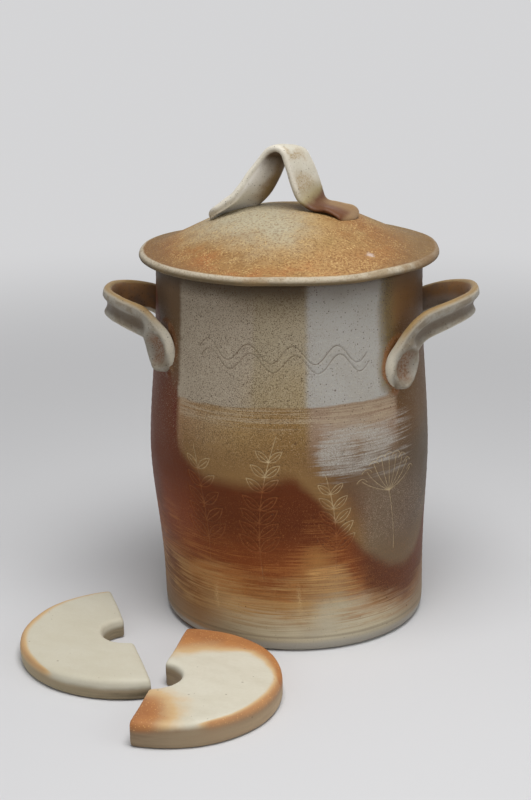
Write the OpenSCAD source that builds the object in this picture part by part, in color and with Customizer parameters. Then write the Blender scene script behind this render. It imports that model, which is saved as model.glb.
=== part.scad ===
// Stoneware fermenting crock with two pulled side handles, a domed lid with a
// pulled strap handle, and a pair of half-round weights standing in front of it.
// Millimetres. The crock stands on z = 0 with its axis on Z; its front faces -Y.

/* [Crock] */
// Height of the crock's rim above the table
crock_h = 298; // [285:1:315]
// Diameter of the belly at its widest
belly_d = 230; // [224:1:236]
// Height of the widest part of the belly
belly_z = 142; // [120:1:160]
// Diameter of the wall just above the foot
foot_d = 218; // [208:1:221]
// Diameter of the wall at the rim
rim_d = 214.4; // [208:0.2:219]
// Thickness of the thrown wall
wall_t = 8.5; // [6:0.5:10]
// Thickness of the floor
floor_t = 11; // [8:0.5:16]
// Rounding between the floor and the wall inside
floor_fillet = 16; // [8:1:24]

/* [Lid] */
// Diameter over the lid's rim
lid_d = 240.6; // [238:0.2:248]
// Height of the dome above the crock's rim
crown_h = 40; // [34:1:46]
// Height of the dome's foot above the crock's rim
lip_top = 7.2; // [6:0.2:9]
// Thickness of the dome
lid_t = 7; // [5:0.5:9]
// Depth of the locating flange below the rim
flange_h = 12; // [8:1:18]
// Thickness of the locating flange
flange_t = 6; // [4:0.5:8]
// Clearance between the flange and the crock's mouth, per side
flange_gap = 2.5; // [1.5:0.5:4]

/* [Lid handle] */
// Width of the pulled strap at the crest
strap_w = 29; // [24:1:33]
// Thickness of the pulled strap
strap_t = 8.5; // [7:0.5:10]
// Height of the strap's crest above the dome
strap_rise = 51; // [44:1:60]
// Half the length that the strap spans over the dome
strap_span = 60; // [54:1:66]

/* [Side handles] */
// Width of the left strap
left_w = 25; // [21:0.5:28]
// Width of the right strap
right_w = 22.5; // [20:0.5:26]
// Width of the thumbed pads that join them to the wall
pad_w = 33; // [28:1:36]
// Thickness of the side straps
side_t = 8.5; // [7:0.5:10]
// Depth of the groove along their outer face
side_groove = 2; // [0:0.25:2.5]
// Gap for the fingers between the left strap and the wall
left_reach = 34.5; // [30:0.5:40]
// Gap for the fingers between the right strap and the wall
right_reach = 37; // [30:0.5:42]
// Depth of the tips of the left handle's pads below the rim
left_tip_drop = 85; // [80:1:96]
// Depth of the tips of the right handle's pads below the rim
right_tip_drop = 90; // [80:1:96]
// Depth of the left strap's middle line below the rim where it is highest
left_crest_drop = 37; // [32:1:42]
// Depth of the right strap's middle line below the rim where it is highest
right_crest_drop = 34; // [30:1:42]

/* [Weights] */
// Radius of the left weight
left_weight_r = 87; // [80:0.5:87.5]
// Thickness of the left weight
left_weight_t = 17; // [14:0.5:20]
// Radius of the right weight
right_weight_r = 81.5; // [76:0.5:84]
// Distance from the right weight's centre to its cut side
right_weight_cut = 11; // [6:0.5:14]
// Thickness of the right weight
right_weight_t = 20; // [16:0.5:22]
// Radius of the thumb notch in each cut side
notch_r = 21.5; // [18:0.5:24]
// Rounding of the weights' round edges
weight_edge = 4.5; // [2:0.5:6]
// Bevel of the weights' cut edges
cut_bevel = 1.5; // [0.5:0.25:2.5]

/* [Hidden] */
$fn = 180;

// ---------------------------------------------------------------- crock wall
foot_z = 14;                       // height where the foot's turn ends
rim_land = 4;                      // width of the flat land on the rim
rim_roll = 2;                      // height of the rounding on the rim's edges
lower_ease = 1.3;                  // how late the wall swells below the belly
upper_ease = 0.8;                  // how early it draws in above the belly

function swell(t) = 0.5 - 0.5 * cos(180 * t);
function wall_r(z) =
    z < foot_z ? foot_d / 2 - 1.6 * pow(1 - z / foot_z, 2)
  : z < belly_z ? foot_d / 2 + (belly_d - foot_d) / 2
                  * swell(pow((z - foot_z) / (belly_z - foot_z), lower_ease))
  : belly_d / 2 - (belly_d - rim_d) / 2
                  * swell(pow((z - belly_z) / (crock_h - belly_z), upper_ease));

wall_steps = 30;
fillet_steps = 6;
inner_r0 = wall_r(floor_t + floor_fillet) - wall_t;

function wall_line(z0, z1, inset) =
    [for (i = [0:wall_steps]) let (z = z0 + (z1 - z0) * i / wall_steps)
        [wall_r(z) - inset, z]];

// solid of revolution with the crock's outer skin, used to seat the pads on it
outer_skin = concat(
    [[0, 0], [wall_r(0) - 2, 0], [wall_r(2), 2]],
    wall_line(5, crock_h - rim_roll, 0),
    [[rim_d / 2 - wall_t / 2 + rim_land / 2, crock_h], [0, crock_h]]);

inner_skin = concat(
    [[0, floor_t], [inner_r0 - floor_fillet, floor_t]],
    [for (i = [1:fillet_steps]) let (a = 90 * i / fillet_steps)
        [inner_r0 - floor_fillet + floor_fillet * sin(a),
         floor_t + floor_fillet * (1 - cos(a))]],
    wall_line(floor_t + floor_fillet + 8, crock_h - rim_roll, wall_t),
    [[rim_d / 2 - wall_t / 2 - rim_land / 2, crock_h],
     [rim_d / 2 - wall_t / 2 - rim_land / 2, crock_h + 1], [0, crock_h + 1]]);

// ------------------------------------------------------------------ lid dome
lip_r = lid_d / 2;
dome_r = lip_r - 6.3;              // where the dome runs out into the lip
dome_turn = 165;                   // degrees of the curve used, 180 ends level
dome_ease = 1.5;                   // how late the dome starts to fall
flange_r = rim_d / 2 - wall_t - flange_gap;

function dome_h(r) = crown_h - (crown_h - lip_top)
    * (1 - cos(dome_turn * pow(min(r, dome_r) / dome_r, dome_ease)))
    / (1 - cos(dome_turn));
function dome_line(r0, r1, n, drop) =
    [for (i = [0:n]) let (r = r0 + (r1 - r0) * i / n)
        [r, crock_h + dome_h(r) - drop]];
lip_line = [
    [lip_r - 2.6, crock_h + lip_top - 1.4],
    [lip_r - 0.6, crock_h + lip_top - 3],
    [lip_r, crock_h + 3],
    [lip_r - 0.6, crock_h + 1.4],
    [lip_r - 2.2, crock_h]];

// -------------------------------------------------------------- strap sweeps
// smooth curve through rows of values, "per" steps from one row to the next
function curve_at(a, b, c, d, t) =
    0.5 * (2 * b + (c - a) * t + (2 * a - 5 * b + 4 * c - d) * t * t
    + (3 * b - 3 * c + d - a) * t * t * t);
function curve(p, per) = let (n = len(p) - 1) concat(
    [for (i = [0:n - 1], k = [0:per - 1])
        curve_at(i > 0 ? p[i - 1] : 2 * p[0] - p[1], p[i], p[i + 1],
                 i < n - 1 ? p[i + 2] : 2 * p[n] - p[n - 1], k / per)],
    [p[n]]);
function unit(v) = v / norm(v);

// soft-cornered strap section, w wide along x, t thick along y, grooved on +y
ring_n = 16;
function soft(c) = sign(c) * pow(abs(c), 0.8);
function strap_ring(w, t, g) = [for (k = [0:ring_n - 1])
    let (a = 360 * (k + 0.5) / ring_n, x = w / 2 * soft(cos(a)),
         y = t / 2 * soft(sin(a)))
    [x, y > 0 ? y - g * max(0, 1 - pow(x / (0.36 * w), 2)) : y]];

// joins rings of points into one closed strap
module strap(rings) {
    m = len(rings);
    last = (m - 1) * ring_n;
    polyhedron(
        points = [for (r = rings) each r],
        faces = concat(
            [for (i = [0:m - 2], k = [0:ring_n - 1]) let (j = (k + 1) % ring_n)
                [i * ring_n + k, i * ring_n + j, (i + 1) * ring_n + j]],
            [for (i = [0:m - 2], k = [0:ring_n - 1]) let (j = (k + 1) % ring_n)
                [i * ring_n + k, (i + 1) * ring_n + j, (i + 1) * ring_n + k]],
            [for (k = [1:ring_n - 2]) [0, k + 1, k]],
            [for (k = [1:ring_n - 2]) [last, last + k, last + k + 1]]));
}

// side handle: share of the way round, share of the rise, share of the reach,
// share from tip width 0 through pad width 1 to strap width 2
side_shape = [
    [0.000, 0.00, -0.07, 0.0],
    [0.012, 0.10, -0.04, 0.8],
    [0.030, 0.30, 0.00, 1.0],
    [0.060, 0.59, 0.10, 1.1],
    [0.130, 0.83, 0.34, 1.5],
    [0.250, 0.96, 0.74, 1.9],
    [0.400, 1.00, 0.97, 2.0],
    [0.520, 1.00, 1.00, 2.0],
    [0.640, 0.97, 0.91, 2.0],
    [0.770, 0.88, 0.60, 2.0],
    [0.880, 0.72, 0.24, 1.8],
    [0.945, 0.50, 0.06, 1.3],
    [0.975, 0.27, 0.00, 1.0],
    [0.990, 0.09, -0.04, 0.8],
    [1.000, 0.00, -0.07, 0.0]];
tip_w = 13;
function side_width(q, w) = q < 1 ? tip_w + (pad_w - tip_w) * q
                                  : pad_w + (w - pad_w) * (q - 1);

function side_mid(az0, az1, tip, crest, reach, w) =
    [for (s = curve(side_shape, 4))
        let (az = az0 + (az1 - az0) * s[0], z = tip + (crest - tip) * s[1],
             r = wall_r(z) + reach * s[2] + side_t / 2)
        [[r * sin(az), -r * cos(az), z], [sin(az), -cos(az), 0],
         side_width(s[3], w)]];

module side_handle(az0, az1, tip, crest, reach, w) {
    mid = side_mid(az0, az1, tip, crest, reach, w);
    m = len(mid) - 1;
    difference() {
        strap([for (i = [0:m])
            let (run = unit(mid[min(i + 1, m)][0] - mid[max(i - 1, 0)][0]),
                 out = unit(mid[i][1] - run * (mid[i][1] * run)),
                 across = cross(out, run))
            [for (q = strap_ring(mid[i][2], side_t, side_groove))
                mid[i][0] + across * q[0] + out * q[1]]]);
        rotate_extrude() polygon(outer_skin);
    }
}

// lid handle: x and y as shares of the half span, height of the outer face over
// the dome as a share of the rise, bearing of the strap's width, droop of its
// far edge, width and thickness as shares
lid_strap = [
    [-1.05, 0.09, 0.030, 58, 0, 0.45, 0.55],
    [-0.95, 0.08, 0.085, 57, 0, 1.05, 1.00],
    [-0.82, 0.07, 0.160, 53, 0, 1.16, 1.25],
    [-0.67, 0.05, 0.250, 49, 0, 1.20, 1.25],
    [-0.53, 0.04, 0.375, 46, 0, 1.20, 1.12],
    [-0.39, 0.02, 0.580, 45, 2, 1.16, 1.04],
    [-0.27, -0.01, 0.785, 45, 5, 1.06, 1.00],
    [-0.16, -0.03, 0.930, 46, 9, 1.00, 1.00],
    [-0.03, -0.06, 0.985, 46, 12, 1.00, 1.00],
    [0.09, -0.07, 0.910, 46, 10, 1.00, 1.00],
    [0.18, -0.07, 0.695, 47, 4, 1.00, 1.00],
    [0.25, -0.08, 0.460, 47, 0, 1.00, 1.00],
    [0.32, -0.08, 0.260, 49, 0, 1.03, 0.96],
    [0.42, -0.10, 0.130, 52, 0, 1.12, 0.86],
    [0.57, -0.16, 0.110, 57, 0, 1.28, 0.78],
    [0.72, -0.22, 0.095, 60, 0, 1.38, 0.70],
    [0.83, -0.28, 0.050, 60, 0, 1.10, 0.45]];

function lid_mid() = [for (s = curve(lid_strap, 4))
    let (x = strap_span * s[0], y = strap_span * s[1])
    [[x, y, crock_h + dome_h(norm([x, y])) + strap_rise * s[2]],
     [cos(s[3]) * cos(s[4]), sin(s[3]) * cos(s[4]), -sin(s[4])],
     strap_w * s[5], strap_t * s[6]]];

// --------------------------------------------------------------- the pieces
module crock_body() color([0.62, 0.50, 0.38]) {
    difference() {
        rotate_extrude() polygon(outer_skin);
        rotate_extrude() polygon(inner_skin);
    }
}

module left_handle() color([0.55, 0.47, 0.38])
    side_handle(-60.5, -122, crock_h - left_tip_drop, crock_h - left_crest_drop,
                left_reach, left_w);

module right_handle() color([0.58, 0.54, 0.49])
    side_handle(48, 121, crock_h - right_tip_drop, crock_h - right_crest_drop,
                right_reach, right_w);

module lid() color([0.68, 0.54, 0.36]) {
    rotate_extrude() polygon(concat(
        dome_line(0, dome_r, 24, 0),
        lip_line,
        [[flange_r, crock_h], [flange_r, crock_h - flange_h + 1.5],
         [flange_r - 1.5, crock_h - flange_h],
         [flange_r - flange_t + 1.5, crock_h - flange_h],
         [flange_r - flange_t, crock_h - flange_h + 1.5]],
        dome_line(flange_r - flange_t, 0, 20, lid_t)));
}

module lid_handle() color([0.78, 0.72, 0.62]) {
    mid = lid_mid();
    m = len(mid) - 1;
    difference() {
        strap([for (i = [0:m])
            let (run = unit(mid[min(i + 1, m)][0] - mid[max(i - 1, 0)][0]),
                 across = unit(mid[i][1] - run * (mid[i][1] * run)),
                 out = cross(run, across))
            [for (q = strap_ring(mid[i][2], mid[i][3], 0.8))
                mid[i][0] - across * q[0] + out * (q[1] - mid[i][3] / 2)]]);
        rotate_extrude() polygon(concat(
            [[0, crock_h - 20]], [for (p = dome_line(dome_r, 0, 24, 0)) p],
            [[dome_r, crock_h - 20]]));
    }
}

// half-round slab: cut side on x = 0, round side towards +x, lying on z = 0
module weight(r, cut, t, notch_in, notch_y) {
    half = sqrt(r * r - cut * cut);
    difference() {
        translate([cut, 0, 0]) rotate_extrude() polygon([
            [0, 0], [r - 1.5, 0], [r, 1.5], [r, t - weight_edge],
            for (a = [15:15:90]) [r - weight_edge * (1 - cos(a)),
                                  t - weight_edge * (1 - sin(a))],
            [0, t]]);
        translate([-r - cut - 5, -r - 5, -1]) cube([r + cut + 5, 2 * r + 10, t + 2]);
        translate([-notch_in, notch_y, -1]) cylinder(r = notch_r, h = t + 2);
        translate([-notch_in, notch_y, t - cut_bevel])
            cylinder(r1 = notch_r, r2 = notch_r + 2 * cut_bevel, h = 2 * cut_bevel);
        translate([0, 0, t - cut_bevel]) rotate([0, 45, 0])
            translate([-20, -half - 5, 0]) cube([20, 2 * half + 10, 20]);
    }
}

left_weight_corner = [-102.5, -188.5];   // front end of the left cut side
left_weight_turn = 196;                  // bearing of its round side
right_weight_corner = [-81.5, -102];     // back end of the right cut side
right_weight_turn = -11.3;               // bearing of its round side

module left_weight() color([0.80, 0.76, 0.66]) {
    translate([left_weight_corner[0], left_weight_corner[1], 0])
        rotate([0, 0, left_weight_turn])
            translate([0, -left_weight_r, 0])
                weight(left_weight_r, 0, left_weight_t, 0, -3);
}

module right_weight() color([0.82, 0.74, 0.60]) {
    translate([right_weight_corner[0], right_weight_corner[1], 0])
        rotate([0, 0, right_weight_turn])
            translate([0, -sqrt(pow(right_weight_r, 2) - pow(right_weight_cut, 2)), 0])
                weight(right_weight_r, right_weight_cut, right_weight_t, 3, -6);
}

crock_body();
left_handle();
right_handle();
lid();
lid_handle();
left_weight();
right_weight();
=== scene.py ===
# %% [markdown]
# # A stoneware fermenting crock
# The crock is thrown on a wheel, dipped and brushed with slip, and fired in a
# kiln where wood ash and salt colour the bare clay. The solids packed from the
# CAD source give its true sizes. This notebook dresses them: each solid gets a
# finer mesh that has the marks of the maker's hands, and a glaze built from
# shader nodes. The scene is in metres, with the crock standing on z = 0, its
# axis on Z and its front towards -Y. Where a helper takes degrees or
# millimetres, it says so.

import math

import bmesh
import bpy
import numpy as np
from mathutils import Matrix, Vector, kdtree, noise


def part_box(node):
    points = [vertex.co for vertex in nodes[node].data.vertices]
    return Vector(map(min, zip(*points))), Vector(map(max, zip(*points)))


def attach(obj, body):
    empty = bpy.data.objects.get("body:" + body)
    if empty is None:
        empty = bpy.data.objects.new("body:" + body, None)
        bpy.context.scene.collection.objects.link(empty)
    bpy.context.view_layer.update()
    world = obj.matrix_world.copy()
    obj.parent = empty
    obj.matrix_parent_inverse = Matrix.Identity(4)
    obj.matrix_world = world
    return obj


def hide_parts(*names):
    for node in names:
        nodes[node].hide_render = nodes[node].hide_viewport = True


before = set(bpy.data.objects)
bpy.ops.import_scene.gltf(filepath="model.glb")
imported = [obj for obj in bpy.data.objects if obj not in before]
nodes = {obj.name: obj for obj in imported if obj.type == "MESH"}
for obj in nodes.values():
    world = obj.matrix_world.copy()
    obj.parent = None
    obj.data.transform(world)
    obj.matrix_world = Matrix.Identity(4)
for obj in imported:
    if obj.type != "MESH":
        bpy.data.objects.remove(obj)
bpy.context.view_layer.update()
MM = 0.001
IN_MM = 1000.0  # turns metres into millimetres
print("solids:", sorted(nodes))

# %% [markdown]
# ## Turning a bmesh into a piece
# Every piece ends the same way: its bmesh becomes a mesh whose faces are shaded
# smooth, its object rides on the body that carries it, and the CAD node that it
# replaces is hidden. One helper does this, and prints how many triangles the
# piece has, so a piece that grows too heavy is seen at once.

# %% Helper: finish a piece
def finish_piece(bm, name, body, node):
    """Makes the bmesh an object that rides on a body, and hides the CAD node it replaces."""
    many_sided = [f for f in bm.faces if len(f.verts) > 4]
    bmesh.ops.triangulate(bm, faces=many_sided)
    bmesh.ops.recalc_face_normals(bm, faces=bm.faces)
    mesh = bpy.data.meshes.new(name)
    volume = bm.calc_volume(signed=True)
    triangles = sum(len(f.verts) - 2 for f in bm.faces)
    open_edges = sum(1 for e in bm.edges if len(e.link_faces) != 2)
    bm.to_mesh(mesh)
    bm.free()
    mesh.polygons.foreach_set("use_smooth", [True] * len(mesh.polygons))
    piece = bpy.data.objects.new(name, mesh)
    bpy.context.scene.collection.objects.link(piece)
    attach(piece, body)
    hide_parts(node)
    print(f"{name}: {triangles} triangles, {volume * 1e6:.0f} cm3,"
          f" {open_edges} open edges")
    return piece


# %% [markdown]
# ## The thrown wall
# The wall swells from the foot to the belly and draws in again to the rim. One
# function gives its radius at any height, so the wall, the pads of the handles
# and the drawn lines all agree. Azimuth is the angle round the axis from the
# front, positive towards +X.

# %% The wall's radius and places on it
rim_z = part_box("crock_body")[1].z
belly_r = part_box("crock_body")[1].x
belly_z = 142 * MM
foot_r = 109 * MM
foot_z = 14 * MM
rim_r = 107.2 * MM
wall_t = 8.5 * MM
floor_t = 11 * MM


def swell(t):
    """Eases from 0 to 1 as t goes from 0 to 1, and holds outside that."""
    return 0.5 - 0.5 * math.cos(math.pi * min(1, max(0, t)))


def wall_radius(z):
    """Radius of the wall's outer face at height z."""
    if z < foot_z:
        return foot_r - 1.6 * MM * (1 - z / foot_z) ** 2
    if z < belly_z:
        t = (z - foot_z) / (belly_z - foot_z)
        return foot_r + (belly_r - foot_r) * swell(t ** 1.3)
    t = min(1, (z - belly_z) / (rim_z - belly_z))
    return belly_r - (belly_r - rim_r) * swell(t ** 0.8)


def on_wall(azimuth, height):
    """The point on the wall at an azimuth in degrees and a height in mm."""
    a = math.radians(azimuth)
    r = wall_radius(height * MM)
    return Vector((r * math.sin(a), -r * math.cos(a), height * MM))


print(f"rim at {rim_z:.3f} m, belly radius {belly_r:.3f} m")

# %% [markdown]
# The wall is spun from one half section: up the outside, over the rim, down
# the inside and across the floor. Spinning is what the wheel does, and it
# keeps the wall closed. The underside is hollowed a little inside the foot
# ring, where the maker trimmed it.

# %% Spin the crock
row = 2.4 * MM
spin_steps = 300


def steps_between(low, high, pitch):
    """Evenly spaced values from low to high, about pitch apart."""
    count = max(1, round((high - low) / pitch))
    return [low + (high - low) * i / count for i in range(count + 1)]


def spun(section, steps):
    """Spins a half section, a list of (radius, height), into a closed bmesh."""
    bm = bmesh.new()
    verts = [bm.verts.new((0, -r, z)) for r, z in section]
    edges = [bm.edges.new(pair) for pair in zip(verts, verts[1:])]
    bmesh.ops.spin(bm, geom=verts + edges, cent=(0, 0, 0), axis=(0, 0, 1),
                   angle=math.tau, steps=steps, use_merge=True)
    bmesh.ops.remove_doubles(bm, verts=bm.verts, dist=1e-6)
    return bm


outer_rows = steps_between(5 * MM, rim_z - 3 * MM, row)
inner_rows = steps_between(30 * MM, rim_z - 4 * MM, 8 * MM)
crock_section = (
    [(0, 1.6 * MM), (60 * MM, 1.4 * MM), (97 * MM, 1.2 * MM),
     (99.5 * MM, 0.2 * MM), (100.5 * MM, 0), (103.5 * MM, 0),
     (105 * MM, 0.5 * MM), (106.2 * MM, 1.6 * MM), (107.2 * MM, 3.2 * MM)]
    + [(wall_radius(z), z) for z in outer_rows]
    + [(rim_r - 0.25 * MM, rim_z - 1.8 * MM), (rim_r - 1.1 * MM, rim_z - 0.6 * MM),
       (rim_r - 2.6 * MM, rim_z), (rim_r - 5.6 * MM, rim_z),
       (rim_r - 7.2 * MM, rim_z - 0.6 * MM), (rim_r - 8.2 * MM, rim_z - 1.8 * MM)]
    + [(wall_radius(z) - wall_t, z) for z in reversed(inner_rows)]
    + [(wall_radius(0.03) - wall_t - 14 * MM * (1 - math.cos(math.radians(a))),
        floor_t + 15 * MM * (1 - math.sin(math.radians(a)))) for a in (15, 40, 65, 90)]
    + [(60 * MM, floor_t), (30 * MM, floor_t), (0, floor_t)])
crock = spun(crock_section, spin_steps)
print("crock section:", len(crock_section), "points,", len(crock.faces), "faces")

# %% [markdown]
# ## Lines drawn in the leather-hard clay
# The maker drew on the front with a needle. Here a combed wave runs round the
# upper band, and leafy sprigs and a flower head stand below it: plain motifs
# that any potter might use. Each stroke is a list of (azimuth, height) points
# in degrees and millimetres, so it wraps round the wall by itself. A single
# stroke is a Bezier curve with one bend, and a wave is a sine with a little
# noise, as a hand never keeps quite level.

# %% A stroke and a wave
def stroke(start, bend, end, count=24):
    """A curved stroke from start to end that leans towards bend."""
    out = []
    for i in range(count + 1):
        t = i / count
        out.append(tuple((1 - t) ** 2 * a + 2 * t * (1 - t) * b + t * t * c
                         for a, b, c in zip(start, bend, end)))
    return out


def wave(first, last, height, swing, pitch, slope=0.0):
    """A wave combed round the wall from the first azimuth to the last."""
    out = []
    for i in range(int((last - first) * 2) + 1):
        az = first + i / 2
        shake = 0.8 * noise.noise(Vector((az * 0.11, height, 0)))
        out.append((az, height + slope * (az - first) + shake
                    + swing * math.sin(math.tau * (az - first) / pitch)))
    return out


print("a stroke has", len(stroke((0, 0), (5, 5), (0, 10))), "points")

# %% [markdown]
# A sprig is a stem with pairs of leaves that grow smaller towards its tip.
# Each leaf takes three strokes: two sides and a vein. The flower head is a fan
# of straight rays with a small arc over each.

# %% Sprigs and a flower head
def sprig(foot, tip, lean, pairs, leaf_w, leaf_h):
    """A stem with pairs of pointed leaves along it, each with a vein."""
    bend = ((foot[0] + tip[0]) / 2 + lean, (foot[1] + tip[1]) / 2)
    stem = stroke(foot, bend, tip, 40)
    lines = [stem]
    for k in range(pairs):
        at = stem[8 + int(30 * k / pairs)]
        size = 1 - 0.45 * k / pairs
        for side in (-1, 1):
            w, h = side * leaf_w * size, leaf_h * size
            end = (at[0] + w, at[1] + h)
            lines.append(stroke(at, (at[0] + 0.75 * w, at[1] - 0.1 * h), end))
            lines.append(stroke(at, (at[0] + 0.15 * w, at[1] + 0.95 * h), end))
            lines.append(stroke(at, (at[0] + 0.45 * w, at[1] + 0.4 * h),
                                (at[0] + 0.8 * w, at[1] + 0.78 * h), 12))
    return lines


def flower_head(foot, centre, rays, reach_w, reach_h):
    """A stem that ends in a fan of rays, each with a small arc at its tip."""
    lines = [stroke(foot, ((foot[0] + centre[0]) / 2 + 2, foot[1] + 20), centre)]
    for k in range(rays):
        a = math.radians(-65 + 130 * k / (rays - 1))
        tip = (centre[0] + reach_w * math.sin(a), centre[1] + reach_h * math.cos(a))
        lines.append(stroke(centre, (centre[0] + 0.7 * reach_w * math.sin(a),
                                     centre[1] + 0.45 * reach_h * math.cos(a)), tip))
        lines.append(stroke((tip[0] - 2.4, tip[1] - 1), (tip[0], tip[1] + 5),
                            (tip[0] + 2.4, tip[1] - 1), 8))
    return lines


print("a leaf pair takes", len(sprig((0, 0), (0, 60), 0, 1, 8, 12)) - 1, "strokes")

# %% [markdown]
# The wave has two lines, as from a comb with two teeth. Three sprigs of
# different heights and one flower head fill the front below it. Each stroke
# carries its depth, as a share of the deepest.

# %% Draw the wave, the sprigs and the flower head
drawn = [(line, 1.0) for line in (
    wave(-39, 33, 246, 7, 18, -0.05), wave(-38, 34, 239, 7, 18, -0.05))]
for line in (sprig((-36, 72), (-41, 168), 5, 5, 9, 15)
             + sprig((-12, 62), (-5, 182), -6, 7, 8.5, 14)
             + sprig((18, 70), (14, 150), 4, 5, 8, 13)):
    drawn.append((line, 0.8))
for line in flower_head((47, 76), (43, 128), 9, 15, 30):
    drawn.append((line, 0.75))
print(len(drawn), "strokes")

# %% [markdown]
# The strokes are cut into the mesh itself. A k-d tree of points along them
# tells how far any place is from the nearest stroke. Faces near a stroke are
# divided finely, and only there, so the wall stays light. Each stroke leaves
# a groove with a small burr of clay pushed up along both sides.

# %% Find the distance to the strokes
def stroke_tree(strokes):
    """A k-d tree of close points along the strokes, and each point's depth."""
    spacing = 0.4 * MM
    points, depths = [], []
    for line, depth in strokes:
        for a, b in zip(line, line[1:]):
            p, q = on_wall(*a), on_wall(*b)
            for i in range(max(1, math.ceil((q - p).length / spacing))):
                points.append(p.lerp(q, i * spacing / max((q - p).length, 1e-9)))
                depths.append(depth)
    tree = kdtree.KDTree(len(points))
    for i, p in enumerate(points):
        tree.insert(p, i)
    tree.balance()
    return tree, depths


drawn_tree, drawn_depth = stroke_tree(drawn)
print(len(drawn_depth), "points along the strokes")

# %% [markdown]
# ## How the pulled handles run
# A pulled handle is a strap of soft clay. Its two ends are thumbed on to the
# wall as wide pads, and between them it bows out far enough for four fingers.
# A few rows of numbers give its run. A smooth curve is drawn through the rows
# and then walked in even steps, so the mesh is as fine at the bends.

# %% A smooth run in even steps
def smooth_rows(rows, per):
    """Catmull-Rom curve through rows of numbers, per steps between two rows."""
    rows = np.array(rows, float)
    padded = np.vstack([2 * rows[0] - rows[1], rows, 2 * rows[-1] - rows[-2]])
    out = []
    for a, b, c, d in zip(padded, padded[1:], padded[2:], padded[3:]):
        for k in range(per):
            t = k / per
            out.append(0.5 * (2 * b + (c - a) * t + (2 * a - 5 * b + 4 * c - d) * t * t
                              + (3 * b - 3 * c + d - a) * t ** 3))
    return np.array(out + [rows[-1]])


def even_rows(rows, pitch):
    """Rows whose first three values are a place, walked in steps of pitch."""
    gaps = np.linalg.norm(np.diff(rows[:, :3], axis=0), axis=1)
    along = np.concatenate([[0], np.cumsum(gaps)])
    at = np.linspace(0, along[-1], int(along[-1] / pitch) + 1)
    return at, np.array([[np.interp(s, along, column) for column in rows.T]
                         for s in at])


print("4 rows make", len(smooth_rows([(0,), (1,), (0,), (1,)], 12)), "points")

# %% [markdown]
# Each row of the table gives the share of the way round, of the rise and of
# the reach, and how far the strap has slimmed from the pad's width to its own.
# Both side handles share the rows and differ in angles, heights and reach, so
# they are sisters and not twins.

# %% The run of a side handle
pad_w = 33 * MM
side_t = 8.5 * MM
side_run = [
    (0.000, 0.00, -0.05, 0.0), (0.012, 0.10, -0.03, 0.0), (0.030, 0.30, 0.00, 0.0),
    (0.060, 0.59, 0.10, 0.1), (0.130, 0.83, 0.34, 0.5), (0.250, 0.96, 0.74, 0.9),
    (0.400, 1.00, 0.97, 1.0), (0.520, 1.00, 1.00, 1.0), (0.640, 0.97, 0.91, 1.0),
    (0.770, 0.88, 0.60, 1.0), (0.880, 0.72, 0.24, 0.8), (0.945, 0.50, 0.06, 0.3),
    (0.975, 0.27, 0.00, 0.0), (0.990, 0.09, -0.03, 0.0), (1.000, 0.00, -0.05, 0.0)]


def side_path(first, last, tip, crest, reach, strap_w):
    """Stations of a side handle: place, outward direction, width, from one tip
    to the other. Angles in degrees, lengths in mm."""
    rows = []
    for share, rise, out, slim in smooth_rows(side_run, 12):
        az = math.radians(first + (last - first) * share)
        z = (tip + (crest - tip) * rise) * MM
        r = wall_radius(z) + reach * MM * out + side_t / 2
        rows.append((r * math.sin(az), -r * math.cos(az), z, math.sin(az), -math.cos(az),
                     pad_w + (strap_w * MM - pad_w) * slim))
    return even_rows(np.array(rows), 1.25 * MM)


print("a side handle's run has", len(side_run), "rows")

# %% [markdown]
# A strap is a chain of rings bridged one to the next. A ring is a soft
# cornered section with a groove drawn by the finger along its outer face.
# Every vertex also keeps where it lies on the strap: across it, along it, and
# out from it, as shares. The glaze reads that later, so its pale edges and
# dark inner faces follow each bend.

# %% Sweep a strap
ring_points = 44


def soft(c, power):
    """A cosine or sine made squarer or rounder, with its sign kept."""
    return math.copysign(abs(c) ** power, c)


def strap_ring(width, thick, groove, off=0.0, power=0.72):
    """Points of one section: across and out, then both as shares. The groove
    on the outer side runs off the middle by a share of the half width."""
    ring = []
    for k in range(ring_points):
        a = math.tau * (k + 0.5) / ring_points
        x, y = soft(math.cos(a), power), soft(math.sin(a), power)
        beside = (x - off) / (0.74 - abs(off) / 2)
        dip = groove * max(0.0, 1 - beside ** 2) ** 1.3 if y > 0 else 0.0
        ring.append((x * width / 2, y * thick / 2 - dip, x, y))
    return ring


def sweep(stations):
    """Bridges rings into a closed strap. A station is a ring of places with
    (across, along, out) kept for each."""
    bm = bmesh.new()
    layer = bm.verts.layers.float_vector.new("strap")
    loops = []
    for ring in stations:
        verts = bmesh.ops.create_circle(bm, segments=len(ring), radius=1)["verts"]
        for vert, (place, kept) in zip(verts, ring):
            vert.co = place
            vert[layer] = kept
        loops.append({e for v in verts for e in v.link_edges})
    for one, two in zip(loops, loops[1:]):
        bmesh.ops.bridge_loops(bm, edges=list(one | two))
    for loop in (loops[0], loops[-1]):
        bmesh.ops.contextual_create(bm, geom=list(loop))
    return bm


print("a ring has", len(strap_ring(pad_w, side_t, 0)), "points")

# %% [markdown]
# A thumb has pressed an oval hollow into each pad of a side handle and pushed
# up a thick rim round it. The hollow is a flattened dome, and the rim a soft
# ring just outside it, both measured from the middle of the thumb print.

# %% A thumb's dent
thumb_d, thumb_rim = 5.6 * MM, 1.9 * MM
thumb_at, thumb_r = 19.5 * MM, 15.5 * MM


def thumb_dent(tip_d, u):
    """How deep a thumb pressed at a place on a pad, less the rim it pushed up."""
    rho = math.hypot((tip_d - thumb_at) / thumb_r, u / 0.62)
    rim = math.exp(-((rho - 1.25) / 0.26) ** 2)
    return thumb_d * max(0.0, 1 - rho ** 2) ** 0.75 - thumb_rim * rim


print(f"a thumb's dent is {thumb_dent(thumb_at, 0) / MM:.1f} mm deep")

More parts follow.
